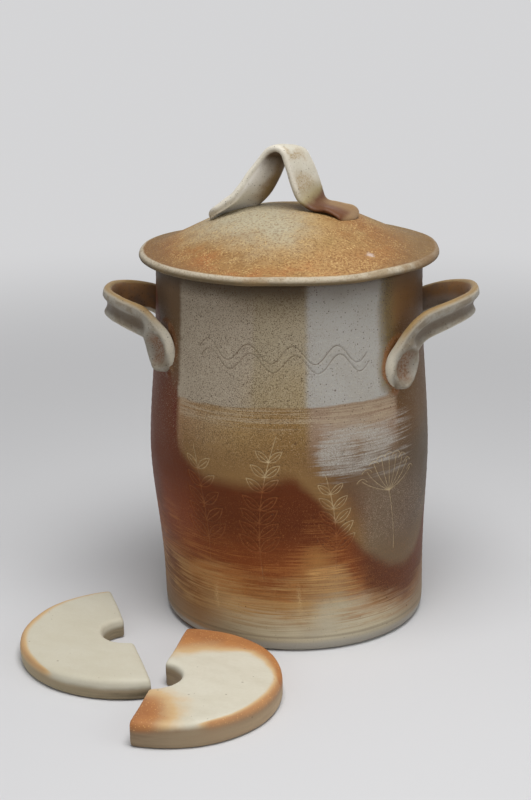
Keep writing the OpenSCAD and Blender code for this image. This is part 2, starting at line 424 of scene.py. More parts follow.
# %% [markdown]
# At each tip the rings shrink to a round end. On the free part between the
# pads, the finger's groove runs a little below the middle. The pads of the two
# handles lean and narrow each in its own way, as no two are pulled alike. The
# strap keeps its place across from the upper to the lower edge, and its place
# along as the distance from the nearer tip.

# %% Thumb on the side handles
groove_d = 3.9 * MM


def side_handle(first, last, tip, crest, reach, strap_w, taper, lean, tilt, seed):
    """A side handle as a bmesh, and the line of its two pads on the wall. The
    first six values are those of side_path. The pads narrow over taper and
    lean to one side, and the free strap tilts, all in metres."""
    at, rows = side_path(first, last, tip, crest, reach, strap_w)
    end = at[-1]
    side = 1 if last < first else -1  # turns across towards the lower edge
    along_unit = 60 * MM
    stations, pad_line = [], []
    for i, row in enumerate(rows):
        place, out = Vector(row[:3]), Vector((row[3], row[4], 0))
        run = Vector(rows[min(i + 1, len(rows) - 1)][:3] - rows[max(i - 1, 0)][:3])
        run.normalize()
        out = (out - run * out.dot(run)).normalized()
        across = out.cross(run)
        tip_d = min(at[i], end - at[i])
        round_w = math.sqrt(max(0.02, 1 - (1 - min(tip_d, taper) / taper) ** 2))
        round_t = math.sqrt(max(0.05, 1 - (1 - min(tip_d, 5 * MM) / (5 * MM)) ** 2))
        width, thick = row[5] * round_w, side_t * round_t
        groove = groove_d * swell((tip_d - 35 * MM) / (9 * MM))
        hold = swell((tip_d - 22 * MM) / (16 * MM))
        hump = 0.5 * MM * noise.noise(Vector((at[i] * 22, seed, 0)))
        ring = []
        for x, y, u, v in strap_ring(width, thick, groove, 0.2 * side):
            pressed = side_t * round_t * max(v, 0) - side_t / 2 + 1.4 * MM * min(v, 0)
            if v > 0:
                dent = thumb_dent(tip_d, x / (width / 2)) * min(1, 2 * v)
                y += hump - dent
                pressed += hump - dent + lean * u * v * round_t
            y = pressed + (y - pressed) * hold + tilt * u * swell(hold)
            wobble = 0.35 * MM * noise.noise(place * 60 + Vector((u * 2, v * 2, seed)))
            ring.append((place + across * (x + wobble) + out * (y + wobble),
                         (u * side, tip_d / along_unit, v)))
        stations.append(ring)
        if tip_d < 26 * MM:
            pad_line.append((place, width / 2))
    return sweep(stations), pad_line


left_strap, left_pads = side_handle(-59.2, -122, 217.5, 263, 34.5, 22.5, 23 * MM,
                                    4.2 * MM, 0, 3.1)
right_strap, right_pads = side_handle(48, 121, 208, 266, 36, 22, 19 * MM,
                                      -2.5 * MM, 1.3 * MM, 8.7)
print("handles:", len(left_strap.verts), "and", len(right_strap.verts), "vertices")

# %% [markdown]
# ## The marks on the wall
# Three things shape the wall's outer face. The fingers leave shallow rings as
# the wall is pulled up. The clay is smeared up against each pad, so the pad
# grows out of the wall. And the drawn strokes are cut in. Marks this fine need
# small faces, so the faces close to a stroke or a pad are divided first.

# %% Divide the wall by the pads and strokes
def nearest_line(points):
    """A k-d tree over (place, half width) points."""
    tree = kdtree.KDTree(len(points))
    for i, (place, _) in enumerate(points):
        tree.insert(place, i)
    tree.balance()
    return tree


def divide_near(bm, tree, reach, cuts):
    """Divides the faces that lie closer than reach to the points of a tree."""
    close = [f for f in bm.faces if tree.find(f.calc_center_median())[2] < reach]
    edges = list({e for f in close for e in f.edges})
    bmesh.ops.subdivide_edges(bm, edges=edges, cuts=cuts, use_grid_fill=True)
    return len(close)


pads = left_pads + right_pads
pad_tree = nearest_line(pads)
print("divided:", divide_near(crock, pad_tree, 25 * MM, 1), "faces by the pads,",
      divide_near(crock, drawn_tree, 2.3 * MM, 3), "by the strokes")

# %% [markdown]
# Each vertex then moves in or out from the axis by all the marks at its place:
# throwing rings, the soft unevenness of hand pressure, the fillet of clay at a
# pad, a line of smeared clay beside the left handle, and the strokes, each
# with its small burr. The shares of stroke and pad are handed back too, so the
# glaze can colour the scratches and the flashes round the pads.

# %% The marks at a place on the wall
smear_top, smear_az = 257, -58.5
smear = [(on_wall(smear_az + 0.1 * i, smear_top - 1.5 * i), 1.0) for i in range(26)]
smear_tree = nearest_line(smear)


def wall_mark(place, azimuth, z):
    """How far the wall moves out at a place, and the shares of stroke and pad."""
    ring = math.sin(z * 780 + 0.8 * math.sin(azimuth)) * 0.5 + math.sin(z * 1730 + azimuth)
    move = 0.07 * MM * ring * min(1, (z - 0.004) / 0.02)
    move += 0.35 * MM * noise.noise(place * 14) + 0.1 * MM * noise.noise(
        Vector((place.x * 30, place.y * 30, place.z * 160)))
    _, i, far = pad_tree.find(place)
    edge = far - pads[i][1]
    if edge < 8 * MM:
        move += 1.5 * MM * math.exp(-(max(edge, 0) / (2.2 * MM)) ** 2)
    _, _, far = smear_tree.find(place)
    if far < 6 * MM:
        move += 1.3 * MM * math.exp(-(far / (1.5 * MM)) ** 2)
    _, i, far = drawn_tree.find(place)
    cut = 0.0
    if far < 3 * MM:
        depth = drawn_depth[i]
        cut = math.exp(-(far / (0.5 * MM)) ** 2)
        move += depth * MM * (0.08 * math.exp(-((far - 1.1 * MM) / (0.4 * MM)) ** 2)
                              - 0.5 * cut)
    return move, cut, math.exp(-(max(edge - 1 * MM, 0) / (3 * MM)) ** 2)


print("at the front the marks move the wall by",
      round(wall_mark(on_wall(0, 200), 0.0, 0.2)[0] / MM, 2), "mm")

# %% [markdown]
# Low down, the whole wall leans a little to one side, as a tall pot does when
# it is lifted off the wheel wet. With that the wall is done, and it and the
# two handles become pieces on the crock's body.

# %% Press, carve and lean the wall
lean_by = 4.2 * MM
lean_top = 0.150


def shift_low(z):
    """How far the wall leans towards +X at height z."""
    return lean_by * swell((lean_top - z) / lean_top)


scratch = crock.verts.layers.float.new("scratch")
beside_pad = crock.verts.layers.float.new("beside_pad")
for vert in crock.verts:
    x, y, z = vert.co
    r = math.hypot(x, y)
    if 4 * MM < z < rim_z - 2 * MM and r > wall_radius(z) - 1 * MM:
        azimuth = math.atan2(x, -y)
        move, cut, by_pad = wall_mark(vert.co, azimuth, z)
        r_new = wall_radius(z) + move
        vert.co.x, vert.co.y = r_new * math.sin(azimuth), -r_new * math.cos(azimuth)
        vert[scratch], vert[beside_pad] = cut, by_pad
    vert.co.x += shift_low(z)

thrown_crock = finish_piece(crock, "thrown_crock", "crock", "crock_body")
left_pull = finish_piece(left_strap, "left_pulled_handle", "crock", "left_handle")
right_pull = finish_piece(right_strap, "right_pulled_handle", "crock", "right_handle")

# %% [markdown]
# ## The lid
# The lid is thrown upside down as a shallow bowl and trimmed. Its dome falls
# in a soft S to a rolled lip, and a flange below drops inside the mouth of the
# crock. It is spun like the crock, from one half section that goes down the
# dome, round the lip and the flange, and back along the dome's underside.

# %% The lid's section
lip_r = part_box("lid")[1].x
crown_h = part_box("lid")[1].z - rim_z
lip_h = 7.2 * MM
lid_t = 7 * MM
dome_r = lip_r - 6.3 * MM
flange_r = rim_r - wall_t - 2.5 * MM
flange_h = rim_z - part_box("lid")[0].z


def dome_height(r):
    """Height of the dome over the crock's rim at a radius."""
    turn = math.radians(165)
    share = (1 - math.cos(turn * (min(r, dome_r) / dome_r) ** 1.5)) / (1 - math.cos(turn))
    return crown_h - (crown_h - lip_h) * share


lid_section = (
    [(r, rim_z + dome_height(r)) for r in steps_between(0, dome_r - 1 * MM, 1.9 * MM)]
    + [(lip_r - 5 * MM, rim_z + lip_h), (lip_r - 3.2 * MM, rim_z + lip_h + 0.1 * MM),
       (lip_r - 1.8 * MM, rim_z + lip_h - 0.5 * MM),
       (lip_r - 0.7 * MM, rim_z + lip_h - 1.7 * MM),
       (lip_r - 0.1 * MM, rim_z + lip_h - 3.2 * MM), (lip_r, rim_z + 2.9 * MM),
       (lip_r - 0.5 * MM, rim_z + 1.7 * MM), (lip_r - 1.5 * MM, rim_z + 0.9 * MM),
       (lip_r - 3.2 * MM, rim_z + 0.5 * MM), (lip_r - 8 * MM, rim_z + 0.3 * MM),
       (flange_r + 2.5 * MM, rim_z + 0.3 * MM), (flange_r + 0.6 * MM, rim_z + 0.1 * MM),
       (flange_r, rim_z - 0.8 * MM), (flange_r, rim_z - flange_h + 2 * MM),
       (flange_r - 0.6 * MM, rim_z - flange_h + 0.6 * MM),
       (flange_r - 2 * MM, rim_z - flange_h), (flange_r - 4 * MM, rim_z - flange_h),
       (flange_r - 5.4 * MM, rim_z - flange_h + 0.6 * MM),
       (flange_r - 6 * MM, rim_z - flange_h + 2 * MM)]
    + [(r, rim_z + dome_height(r) - lid_t)
       for r in reversed(steps_between(0, flange_r - 7 * MM, 5 * MM))])
dome = spun(lid_section, 288)
print("lid section:", len(lid_section), "points,", len(dome.faces), "faces")

# %% [markdown]
# A thin lip never stays flat in the fire. This one waves a little, and its
# right side stands higher. The dome itself keeps its shape and only gets the
# fine unevenness of thick ash, so the warp starts well out towards the lip.

# %% Warp the lid
stiff_r = 62 * MM


def lip_warp(x, y, r):
    """How far the lid's edge lifts at a place: up on the right and the back."""
    azimuth = math.atan2(x, -y)
    lift = 3.0 * MM * max(0.0, math.cos((azimuth - math.radians(100)) * 0.85)) ** 2
    lift += 0.7 * MM * math.sin(3 * azimuth + 0.6) + 0.45 * MM * math.sin(7 * azimuth + 2)
    lift += 0.5 * MM * noise.noise(Vector((x * 22, y * 22, 4)))
    return max(lift, -0.1 * MM) * swell((r - stiff_r) / (lip_r - stiff_r))


def grain_lift(place):
    """Fine unevenness of the ash-covered dome."""
    return (0.16 * MM * noise.noise(place * 70) + 0.1 * MM * noise.noise(place * 190))


for vert in dome.verts:
    x, y, z = vert.co
    r = math.hypot(x, y)
    if z > rim_z + 0.2 * MM and r > 60 * MM:
        vert.co.z += lip_warp(x, y, r)
    if z > rim_z + lip_h - 2 * MM and z > rim_z + dome_height(r) - 2 * MM:
        vert.co.z += grain_lift(vert.co)
    if r > dome_r:
        grow = 1 + 0.5 * MM * noise.noise(Vector((x * 30, y * 30, 9))) / r
        vert.co.x, vert.co.y = x * grow, y * grow
thrown_lid = finish_piece(dome, "thrown_lid", "lid", "lid")

# %% [markdown]
# ## The lid's handle
# A wider strap arches over the dome and lands twisted. Its left foot is
# hollowed like a spoon on the inner face, and its right foot is bent sharply
# and pressed flat into a tongue, whose near edge stands clear of the dome.
# Each row of the table gives a place over the dome as shares of the half span,
# the height of the outer face as a share of the rise, the bearing of the
# strap's width, the droop of its far edge, and its width and thickness as
# shares. Here the kept place along runs from 0 at the left foot to 1 at the
# right one.

# %% The run of the lid's strap
arch_w, arch_t, arch_rise, arch_span = 29 * MM, 8.5 * MM, 51 * MM, 60 * MM
foot_hollow = 4.4 * MM
lifted_by = 2.3 * MM
arch_run = [
    (-1.06, 0.07, 0.030, 46, 0, 0.95, 0.70), (-0.96, 0.07, 0.085, 46, 0, 1.12, 1.05),
    (-0.80, 0.07, 0.152, 48, 4, 1.22, 1.20), (-0.63, 0.08, 0.226, 48, 8, 1.34, 1.17),
    (-0.49, 0.09, 0.350, 47, 9, 1.34, 1.10), (-0.36, 0.10, 0.556, 48, 9, 1.27, 1.03),
    (-0.25, 0.08, 0.770, 49, 8, 1.14, 1.00), (-0.155, 0.04, 0.926, 50, 7, 1.07, 1.00),
    (-0.02, -0.04, 0.985, 50, 7, 1.05, 1.00), (0.10, -0.12, 0.920, 50, 6, 1.07, 1.00),
    (0.19, -0.16, 0.700, 49, 3, 1.10, 1.00), (0.26, -0.17, 0.460, 48, 0, 1.12, 1.00),
    (0.33, -0.17, 0.260, 49, 0, 1.12, 0.96), (0.43, -0.17, 0.130, 52, 0, 1.16, 0.86),
    (0.58, -0.19, 0.110, 57, 0, 1.28, 0.78), (0.77, -0.23, 0.095, 60, 0, 1.38, 0.70),
    (0.91, -0.27, 0.045, 60, 0, 1.26, 0.50)]
print("the lid's strap has", len(arch_run), "rows")

# %% [markdown]
# The rings follow those rows. Where a ring would sink into the dome, it is
# held just under the dome's face, so the feet look pressed on and leave no
# gap.

# %% Sweep the lid's strap
def arch_stations():
    """Rings of the lid's strap, from its left foot to its right foot."""
    rows = []
    for x, y, rise, bearing, droop, w, t in smooth_rows(arch_run, 10):
        x, y = x * arch_span, y * arch_span
        z = rim_z + dome_height(math.hypot(x, y)) + arch_rise * rise
        b, d = math.radians(bearing), math.radians(droop)
        rows.append((x, y, z, math.cos(b) * math.cos(d), math.sin(b) * math.cos(d),
                     -math.sin(d), arch_w * w, arch_t * t))
    at, rows = even_rows(np.array(rows), 1.2 * MM)
    stations = []
    for i, row in enumerate(rows):
        run = Vector(rows[min(i + 1, len(rows) - 1)][:3] - rows[max(i - 1, 0)][:3])
        run.normalize()
        across = Vector(row[3:6])
        across = (across - run * across.dot(run)).normalized()
        out = run.cross(across)
        place = Vector(row[:3])
        tip_d = min(at[i], at[-1] - at[i])
        round_w = math.sqrt(max(0.03, 1 - (1 - min(tip_d, 11 * MM) / (11 * MM)) ** 2))
        round_t = math.sqrt(max(0.06, 1 - (1 - min(tip_d, 4 * MM) / (4 * MM)) ** 2))
        width, thick = row[6] * round_w, row[7] * round_t
        ring = []
        share = at[i] / at[-1]
        hollow = (foot_hollow * swell(at[i] / (9 * MM))
                  * swell((52 * MM - at[i]) / (26 * MM)))
        gap = lifted_by * swell((share - 0.75) / 0.05) * swell((0.98 - share) / 0.13)
        for x, y, u, v in strap_ring(width, thick, 0.3 * MM, power=0.8):
            if v < 0:
                y += hollow * max(0.0, 1 - (u / 0.74) ** 2)
            wobble = 0.4 * MM * noise.noise(place * 45 + Vector((u * 2, v, 5)))
            spot = place - across * (x + wobble) + out * (y + wobble - row[7] / 2)
            floor = rim_z + dome_height(math.hypot(spot.x, spot.y)) - 1.5 * MM
            spot.z = max(spot.z, floor) + gap * swell(2 * u - 0.8)
            ring.append((spot, (u, share, v)))
        stations.append(ring)
    return stations


arch_rings = arch_stations()
print("the lid's strap is swept from", len(arch_rings), "rings")

# %% [markdown]
# Swept rings crowd together on the inside of the sharp bend at the right foot.
# A few rounds of smoothing there even them out, and the shares kept on the
# vertices tell where along the strap the bend is.

# %% Make the lid's strap
def soften(bm, verts, rounds):
    """Evens out the places of some vertices, as a wet thumb would."""
    for _ in range(rounds):
        bmesh.ops.smooth_vert(bm, verts=verts, factor=0.5, use_axis_x=True,
                              use_axis_y=True, use_axis_z=True)


arch = sweep(arch_rings)
kept = arch.verts.layers.float_vector["strap"]
bend = [v for v in arch.verts if 0.78 < v[kept].y < 0.93]
soften(arch, bend, 10)
lid_strap = finish_piece(arch, "lid_pulled_strap", "lid", "lid_handle")

# %% [markdown]
# ## The weights
# The two half-round weights are cut from a slab with a wire and laid flat to
# dry. Their solids are already the right shape, only too crisp, so each copy
# is merged, remeshed into small even faces, and smoothed as a damp sponge
# would.

# %% A fine copy of a slab
def fine_slab(node):
    """A copy of a CAD node's solid in small even faces, as a bmesh."""
    bm = bmesh.new()
    bm.from_mesh(nodes[node].data)
    bmesh.ops.remove_doubles(bm, verts=bm.verts, dist=1e-6)
    slab = bpy.data.objects.new(node + "_slab", bpy.data.meshes.new(node + "_slab"))
    bm.to_mesh(slab.data)
    bm.free()
    bpy.context.scene.collection.objects.link(slab)
    clay = slab.modifiers.new("even", "REMESH")
    clay.mode = "VOXEL"
    clay.voxel_size = 1.3 * MM
    graph = bpy.context.evaluated_depsgraph_get()
    fine = bpy.data.meshes.new_from_object(slab.evaluated_get(graph))
    bpy.data.objects.remove(slab)
    bm = bmesh.new()
    bm.from_mesh(fine)
    bpy.data.meshes.remove(fine)
    return bm


# %% [markdown]
# A little noise leaves the faces as uneven as hand-rolled clay. It grows from
# nothing at the foot, so the weights still lie flat. The left one was sponged
# more, so its edges roll over more softly.

# %% Sponge the weights
def sponged(node, rounds, dent, seed):
    """A softened and slightly uneven copy of a CAD node's solid, as a bmesh."""
    bm = fine_slab(node)
    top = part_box(node)[1].z
    soften(bm, bm.verts, rounds)
    for vert in bm.verts:
        x, y, z = vert.co
        lift = z / top
        here = Vector((x, y, z * 2.5)) * 26 + Vector((seed, 0, 0))
        fine_here = Vector((x, y, z)) * 110
        push = dent * noise.noise(here) + 0.12 * MM * noise.noise(fine_here)
        side = Vector((noise.noise(here + Vector((9, 0, 0))),
                       noise.noise(here + Vector((0, 9, 0))), 0))
        vert.co += side * dent * 0.8
        vert.co.z = max(0.0, z + push * lift)
    return bm


left_slab = finish_piece(sponged("left_weight", 18, 0.8 * MM, 2.0), "left_slab_weight",
                         "left_weight", "left_weight")
right_slab = finish_piece(sponged("right_weight", 9, 0.7 * MM, 7.0), "right_slab_weight",
                          "right_weight", "right_weight")

# %% [markdown]
# ## Working with shader nodes
# A glaze is a stack of masks: where the slip was brushed, where flame licked
# the clay, where iron came through as specks. Each mask is a few nodes, so
# some short helpers lay them out. A value given to a helper may be a number or
# another node's socket.

# %% Add nodes and link them
def feed(tree, socket, value):
    """Links a socket, or types a plain value in."""
    if isinstance(value, bpy.types.NodeSocket):
        tree.links.new(value, socket)
    else:
        socket.default_value = value


def add(tree, kind, settings=None, **inputs):
    """Adds a shader node with its settings and inputs."""
    made = tree.nodes.new("ShaderNode" + kind)
    for name, value in (settings or {}).items():
        setattr(made, name, value)
    for name, value in inputs.items():
        feed(tree, made.inputs[name.replace("_", " ")], value)
    return made


def calc(tree, operation, a, b=0.0, c=0.0):
    """One step of arithmetic."""
    made = tree.nodes.new("ShaderNodeMath")
    made.operation = operation
    for socket, value in zip(made.inputs, (a, b, c)):
        feed(tree, socket, value)
    return made.outputs[0]


# %% [markdown]
# A mask is a number from 0 to 1 over the surface. Masks are cut from places
# and noises with a soft step, multiplied to narrow them, and moved by noise so
# that no border runs straight.

# %% Masks and noise
def times(tree, first, *rest):
    """The product of several masks."""
    for value in rest:
        first = calc(tree, "MULTIPLY", first, value)
    return first


def rise(tree, value, low, high, smooth=True):
    """A mask that goes from 0 at low to 1 at high."""
    style = {"interpolation_type": "SMOOTHSTEP" if smooth else "LINEAR"}
    made = add(tree, "MapRange", style, Value=value)
    made.inputs["From Min"].default_value = low
    made.inputs["From Max"].default_value = high
    return made.outputs["Result"]


def stretch(tree, vector, scale, move=(0, 0, 0)):
    """A vector scaled and moved."""
    made = add(tree, "Mapping", None, Vector=vector, Scale=scale, Location=move)
    return made.outputs["Vector"]


def cloud(tree, vector, scale, detail=3.0, rough=0.55):
    """Soft noise from 0 to 1."""
    made = add(tree, "TexNoise", None, Vector=vector, Scale=scale, Detail=detail,
               Roughness=rough)
    return made.outputs["Fac"]


def strayed(tree, value, amount, noise_mask):
    """A value moved by noise, up to half of amount either way."""
    return calc(tree, "MULTIPLY_ADD", calc(tree, "SUBTRACT", noise_mask, 0.5), amount,
                value)


# %% [markdown]
# Colours are laid over one another by masks, as slips and flashes lie over one
# another on clay. They are written as the eye reads them, from 0 to 255.

# %% Colours
def paint(tree, share, under, over):
    """Lays one colour over another by a mask."""
    made = tree.nodes.new("ShaderNodeMix")
    made.data_type = "RGBA"
    feed(tree, made.inputs[0], share)
    feed(tree, made.inputs[6], under)
    feed(tree, made.inputs[7], over)
    return made.outputs[2]


def tint(red, green, blue):
    """A colour from 0 to 255 as the eye reads it, made linear for the nodes."""
    out = []
    for value in (red, green, blue):
        c = value / 255
        out.append(c / 12.92 if c <= 0.04045 else ((c + 0.055) / 1.055) ** 2.4)
    return (*out, 1.0)


print("middle grey in the nodes:", round(tint(128, 128, 128)[0], 3))

# %% [markdown]
# An effect that several glazes need is a node group with named sockets. It is
# built once and placed in each glaze with its own values, so a change to it
# reaches them all.

# %% Node groups
def group(name, inputs, outputs):
    """An empty node group with its named sockets, and its two end nodes."""
    tree = bpy.data.node_groups.new(name, "ShaderNodeTree")
    for label, kind, value in inputs:
        socket = tree.interface.new_socket(name=label, in_out="INPUT",
                                           socket_type="NodeSocket" + kind)
        if value is not None:
            socket.default_value = value
    for label, kind in outputs:
        tree.interface.new_socket(name=label, in_out="OUTPUT",
                                  socket_type="NodeSocket" + kind)
    start = tree.nodes.new("NodeGroupInput")
    finish = tree.nodes.new("NodeGroupOutput")
    return tree, start.outputs, finish.inputs


def use(tree, shared, **inputs):
    """Places a shared group in a material with its own values."""
    made = tree.nodes.new("ShaderNodeGroup")
    made.node_tree = shared
    for name, value in inputs.items():
        feed(tree, made.inputs[name.replace("_", " ")], value)
    return made.outputs


# %% [markdown]
# ## Effects that the glazes share
# **Iron specks** are grains in the clay that bleed dark dots through the glaze.
# A Voronoi texture puts one spot in each cell, and the cell's random colour
# decides whether it shows and how large it is.

# %% Iron specks
specks, given, out = group(
    "iron_specks", [("Place", "Vector", None), ("Scale", "Float", 400.0),
                    ("Amount", "Float", 0.3), ("Size", "Float", 0.3)],
    [("Mask", "Float")])
cell = add(specks, "TexVoronoi", None, Vector=given["Place"], Scale=given["Scale"])
pick = add(specks, "SeparateColor", None, Color=cell.outputs["Color"]).outputs
shown = calc(specks, "LESS_THAN", pick[0], given["Amount"])
wide = times(specks, given["Size"], calc(specks, "MULTIPLY_ADD", pick[1], 0.9, 0.35))
core = calc(specks, "SUBTRACT", 1.0, calc(specks, "DIVIDE", cell.outputs["Distance"], wide))
feed(specks, out["Mask"], times(specks, shown, rise(specks, core, 0.0, 0.5)))
print(specks.name, "has", len(specks.nodes), "nodes")

# %% [markdown]
# **Brush streaks** are noise squeezed upwards, so it draws out sideways round
# the pot, as a stiff brush does on a turning wheel. Broad patches make the
# brush run dry in places, and a slow sway keeps the streaks from lying level.

# %% Brush streaks
streaks, given, out = group(
    "brush_streaks", [("Place", "Vector", None), ("Fine", "Float", 900.0),
                      ("Long", "Float", 45.0), ("Cover", "Float", 0.5),
                      ("Soft", "Float", 0.12)],
    [("Mask", "Float"), ("Height", "Float")])
sway = calc(streaks, "MULTIPLY_ADD", cloud(streaks, given["Place"], 9.0, 1.0), 0.006, -0.003)
risen = add(streaks, "VectorMath", {"operation": "ADD"})
feed(streaks, risen.inputs[0], given["Place"])
feed(streaks, risen.inputs[1], add(streaks, "CombineXYZ", None, Z=sway).outputs[0])
drawn_out = add(streaks, "VectorMath", {"operation": "MULTIPLY"})
feed(streaks, drawn_out.inputs[0], risen.outputs[0])
feed(streaks, drawn_out.inputs[1], add(streaks, "CombineXYZ", None, X=given["Long"],
                                       Y=given["Long"], Z=given["Fine"]).outputs[0])
hair = cloud(streaks, drawn_out.outputs[0], 1.0, 3.0, 0.55)
patch = cloud(streaks, stretch(streaks, given["Place"], (26, 26, 60)), 1.0, 3.0, 0.6)
bristle = calc(streaks, "MULTIPLY_ADD", patch, 0.45, times(streaks, hair, 0.75))
level = calc(streaks, "MULTIPLY_ADD", given["Cover"], -0.4, 0.8)
over = calc(streaks, "DIVIDE", calc(streaks, "SUBTRACT", bristle, level), given["Soft"])
feed(streaks, out["Mask"], rise(streaks, over, -0.5, 0.5))
feed(streaks, out["Height"], hair)
print(streaks.name, "has", len(streaks.nodes), "nodes")

# %% [markdown]
# **Fired grain** is the fine roughness of ash and slip. It gives a height for
# the bump and a soft change of tone.

# %% Fired grain
grain, given, out = group(
    "fired_grain", [("Place", "Vector", None), ("Scale", "Float", 500.0)],
    [("Height", "Float"), ("Tone", "Float")])
fine = cloud(grain, given["Place"], given["Scale"], 3.0, 0.6)
broad = cloud(grain, stretch(grain, given["Place"], (1, 1, 1), (3, 1, 2)), 38.0, 3.0, 0.55)
feed(grain, out["Height"], calc(grain, "MULTIPLY_ADD", broad, 0.5, fine))
feed(grain, out["Tone"], rise(grain, calc(grain, "MULTIPLY_ADD", fine, 0.4,
                                          times(grain, broad, 0.6)), 0.3, 0.7))
print(grain.name, "has", len(grain.nodes), "nodes")

# %% [markdown]
# ## The crock's glaze
# The wall is coloured by where flame and brush reached it, so its masks need
# two numbers: the azimuth round the pot and the height. Both come from the
# object's own coordinates, with the lean of the wall taken off.

# %% Azimuth and height
wall_place, given, out = group(
    "place_on_wall", [("Place", "Vector", None)],
    [("Azimuth", "Float"), ("Height", "Float")])
axis = add(wall_place, "SeparateXYZ", None, Vector=given["Place"]).outputs
lean = calc(wall_place, "MULTIPLY",
            rise(wall_place, axis["Z"], lean_top, 0.0), shift_low(0))
angle = calc(wall_place, "ARCTAN2", calc(wall_place, "SUBTRACT", axis["X"], lean),
             calc(wall_place, "MULTIPLY", axis["Y"], -1.0))
feed(wall_place, out["Azimuth"], calc(wall_place, "DEGREES", angle))
feed(wall_place, out["Height"], calc(wall_place, "MULTIPLY", axis["Z"], IN_MM))
print(wall_place.name, "has", len(wall_place.nodes), "nodes")

# %% [markdown]
# A border between two zones is a Float Curve of height against azimuth. Tones
# that change round the pot are a colour ramp over the azimuth. Both run from 0
# to 1, so they read the azimuth as a share of the whole turn, with the front
# in the middle and the join at the back.

# %% Borders and tones round the wall
curve_top = 400.0  # mm, above everything on the wall


def turn_share(tree, azimuth):
    """The azimuth as a share of the whole turn."""
    return calc(tree, "MULTIPLY_ADD", azimuth, 1 / 360, 0.5)


def border(tree, azimuth, points):
    """Height in mm of a border round the wall, from (azimuth, height) points."""
    made = add(tree, "FloatCurve", None, Value=turn_share(tree, azimuth))
    curve = made.mapping.curves[0]
    for _ in points[2:]:
        curve.points.new(0.5, 0.5)
    for knot, (az, height) in zip(curve.points, points):
        knot.location = (az / 360 + 0.5, height / curve_top)
    made.mapping.update()
    return calc(tree, "MULTIPLY", made.outputs[0], curve_top)


def tones_round(tree, azimuth, stops):
    """Colours round the wall at one height, from (azimuth, colour) stops."""
    made = add(tree, "ValToRGB", None, Fac=turn_share(tree, azimuth))
    ramp = made.color_ramp
    for _ in stops[2:]:
        ramp.elements.new(0.5)
    for knot, (az, colour) in zip(ramp.elements, stops):
        knot.position = az / 360 + 0.5
        knot.color = tint(*colour)
    return made.outputs["Color"]


# %% [markdown]
# The flame marked the wall between two borders: an upper one that dips low on
# the right, and a ragged lower one. Both are (azimuth, height) points in
# degrees and millimetres.

# %% Borders of the flame
flame_top = [(-180, 210), (-140, 250), (-110, 300), (-60, 230), (-50, 166), (-44, 156),
             (-35, 146), (-26, 144), (-16, 143), (-8, 148), (0, 151), (5, 143),
             (10, 134), (16, 120), (24, 100), (32, 83), (40, 71), (50, 62), (60, 62),
             (70, 74), (85, 110), (110, 190), (140, 230), (180, 210)]
flame_foot = [(-180, 90), (-120, 96), (-80, 76), (-58, 84), (-45, 74), (-25, 66),
              (-14, 60), (-6, 60), (2, 74), (8, 90), (14, 86), (20, 72), (28, 54),
              (36, 43), (48, 35), (60, 34), (72, 44), (90, 66), (130, 84), (180, 90)]
print("borders:", len(flame_top), "and", len(flame_foot), "points")

# %% [markdown]
# Under the flame marks lies the ground: toasted clay with a wash of slip. Its
# tones were noted round the pot at seven heights. Each height is a colour ramp
# over the azimuth, and the ramps run into one another from the foot to the rim.

# %% Tones of the ground
ground_tones = {
    12: [(-180, (150, 128, 100)), (-75, (138, 112, 84)), (-45, (152, 118, 82)),
         (-15, (178, 162, 132)), (15, (186, 176, 154)), (40, (176, 164, 140)),
         (65, (150, 132, 108)), (100, (142, 120, 94)), (180, (150, 128, 100))],
    36: [(-180, (140, 104, 70)), (-100, (120, 86, 56)), (-65, (116, 78, 48)),
         (-45, (136, 92, 54)), (-25, (180, 148, 100)), (-5, (164, 124, 76)),
         (6, (162, 130, 90)), (20, (176, 162, 132)), (36, (156, 120, 84)),
         (55, (112, 72, 50)), (75, (132, 102, 74)), (120, (132, 100, 70)),
         (180, (140, 104, 70))],
    56: [(-180, (132, 92, 60)), (-100, (116, 78, 50)), (-65, (108, 64, 36)),
         (-45, (132, 84, 46)), (-33, (166, 122, 76)), (-20, (144, 92, 50)),
         (-6, (130, 78, 40)), (5, (148, 100, 58)), (18, (166, 130, 90)),
         (28, (130, 82, 50)), (45, (84, 50, 30)), (75, (88, 62, 42)),
         (120, (124, 90, 62)), (180, (132, 92, 60))],
    82: [(-180, (124, 80, 50)), (-100, (110, 68, 42)), (-65, (110, 58, 32)),
         (-50, (130, 70, 34)), (-35, (114, 58, 28)), (0, (120, 66, 32)),
         (10, (160, 112, 62)), (17, (150, 102, 58)), (25, (106, 64, 40)),
         (35, (114, 94, 72)), (55, (104, 86, 70)), (75, (82, 68, 54)),
         (120, (110, 82, 60)), (180, (124, 80, 50))],
    150: [(-180, (112, 74, 48)), (-110, (96, 46, 24)), (-51.5, (96, 40, 16)),
          (-49, (126, 90, 58)), (-35, (142, 112, 74)), (-15, (138, 106, 64)),
          (0, (130, 96, 54)), (8, (122, 90, 58)), (20, (106, 80, 56)),
          (40, (112, 94, 76)), (55, (94, 76, 58)), (75, (92, 80, 66)),
          (110, (94, 72, 52)), (180, (112, 74, 48))],
    188: [(-180, (118, 84, 58)), (-110, (98, 50, 28)), (-51.5, (94, 38, 14)),
          (-49.5, (154, 120, 86)), (-35, (154, 126, 90)), (-20, (154, 124, 80)),
          (0, (142, 110, 66)), (6, (142, 112, 68)), (9, (148, 124, 104)),
          (30, (152, 130, 108)), (47, (142, 114, 92)), (49.5, (106, 74, 42)),
          (66, (102, 78, 54)), (110, (92, 66, 46)), (180, (118, 84, 58))],
    240: [(-180, (112, 86, 62)), (-110, (88, 64, 44)), (-70, (96, 74, 52)),
          (-54, (112, 88, 64)), (42, (118, 100, 78)), (50, (118, 92, 62)),
          (58, (104, 76, 46)), (75, (92, 70, 52)), (110, (88, 66, 48)),
          (180, (112, 86, 62))]}
print("ground tones at", sorted(ground_tones), "mm")


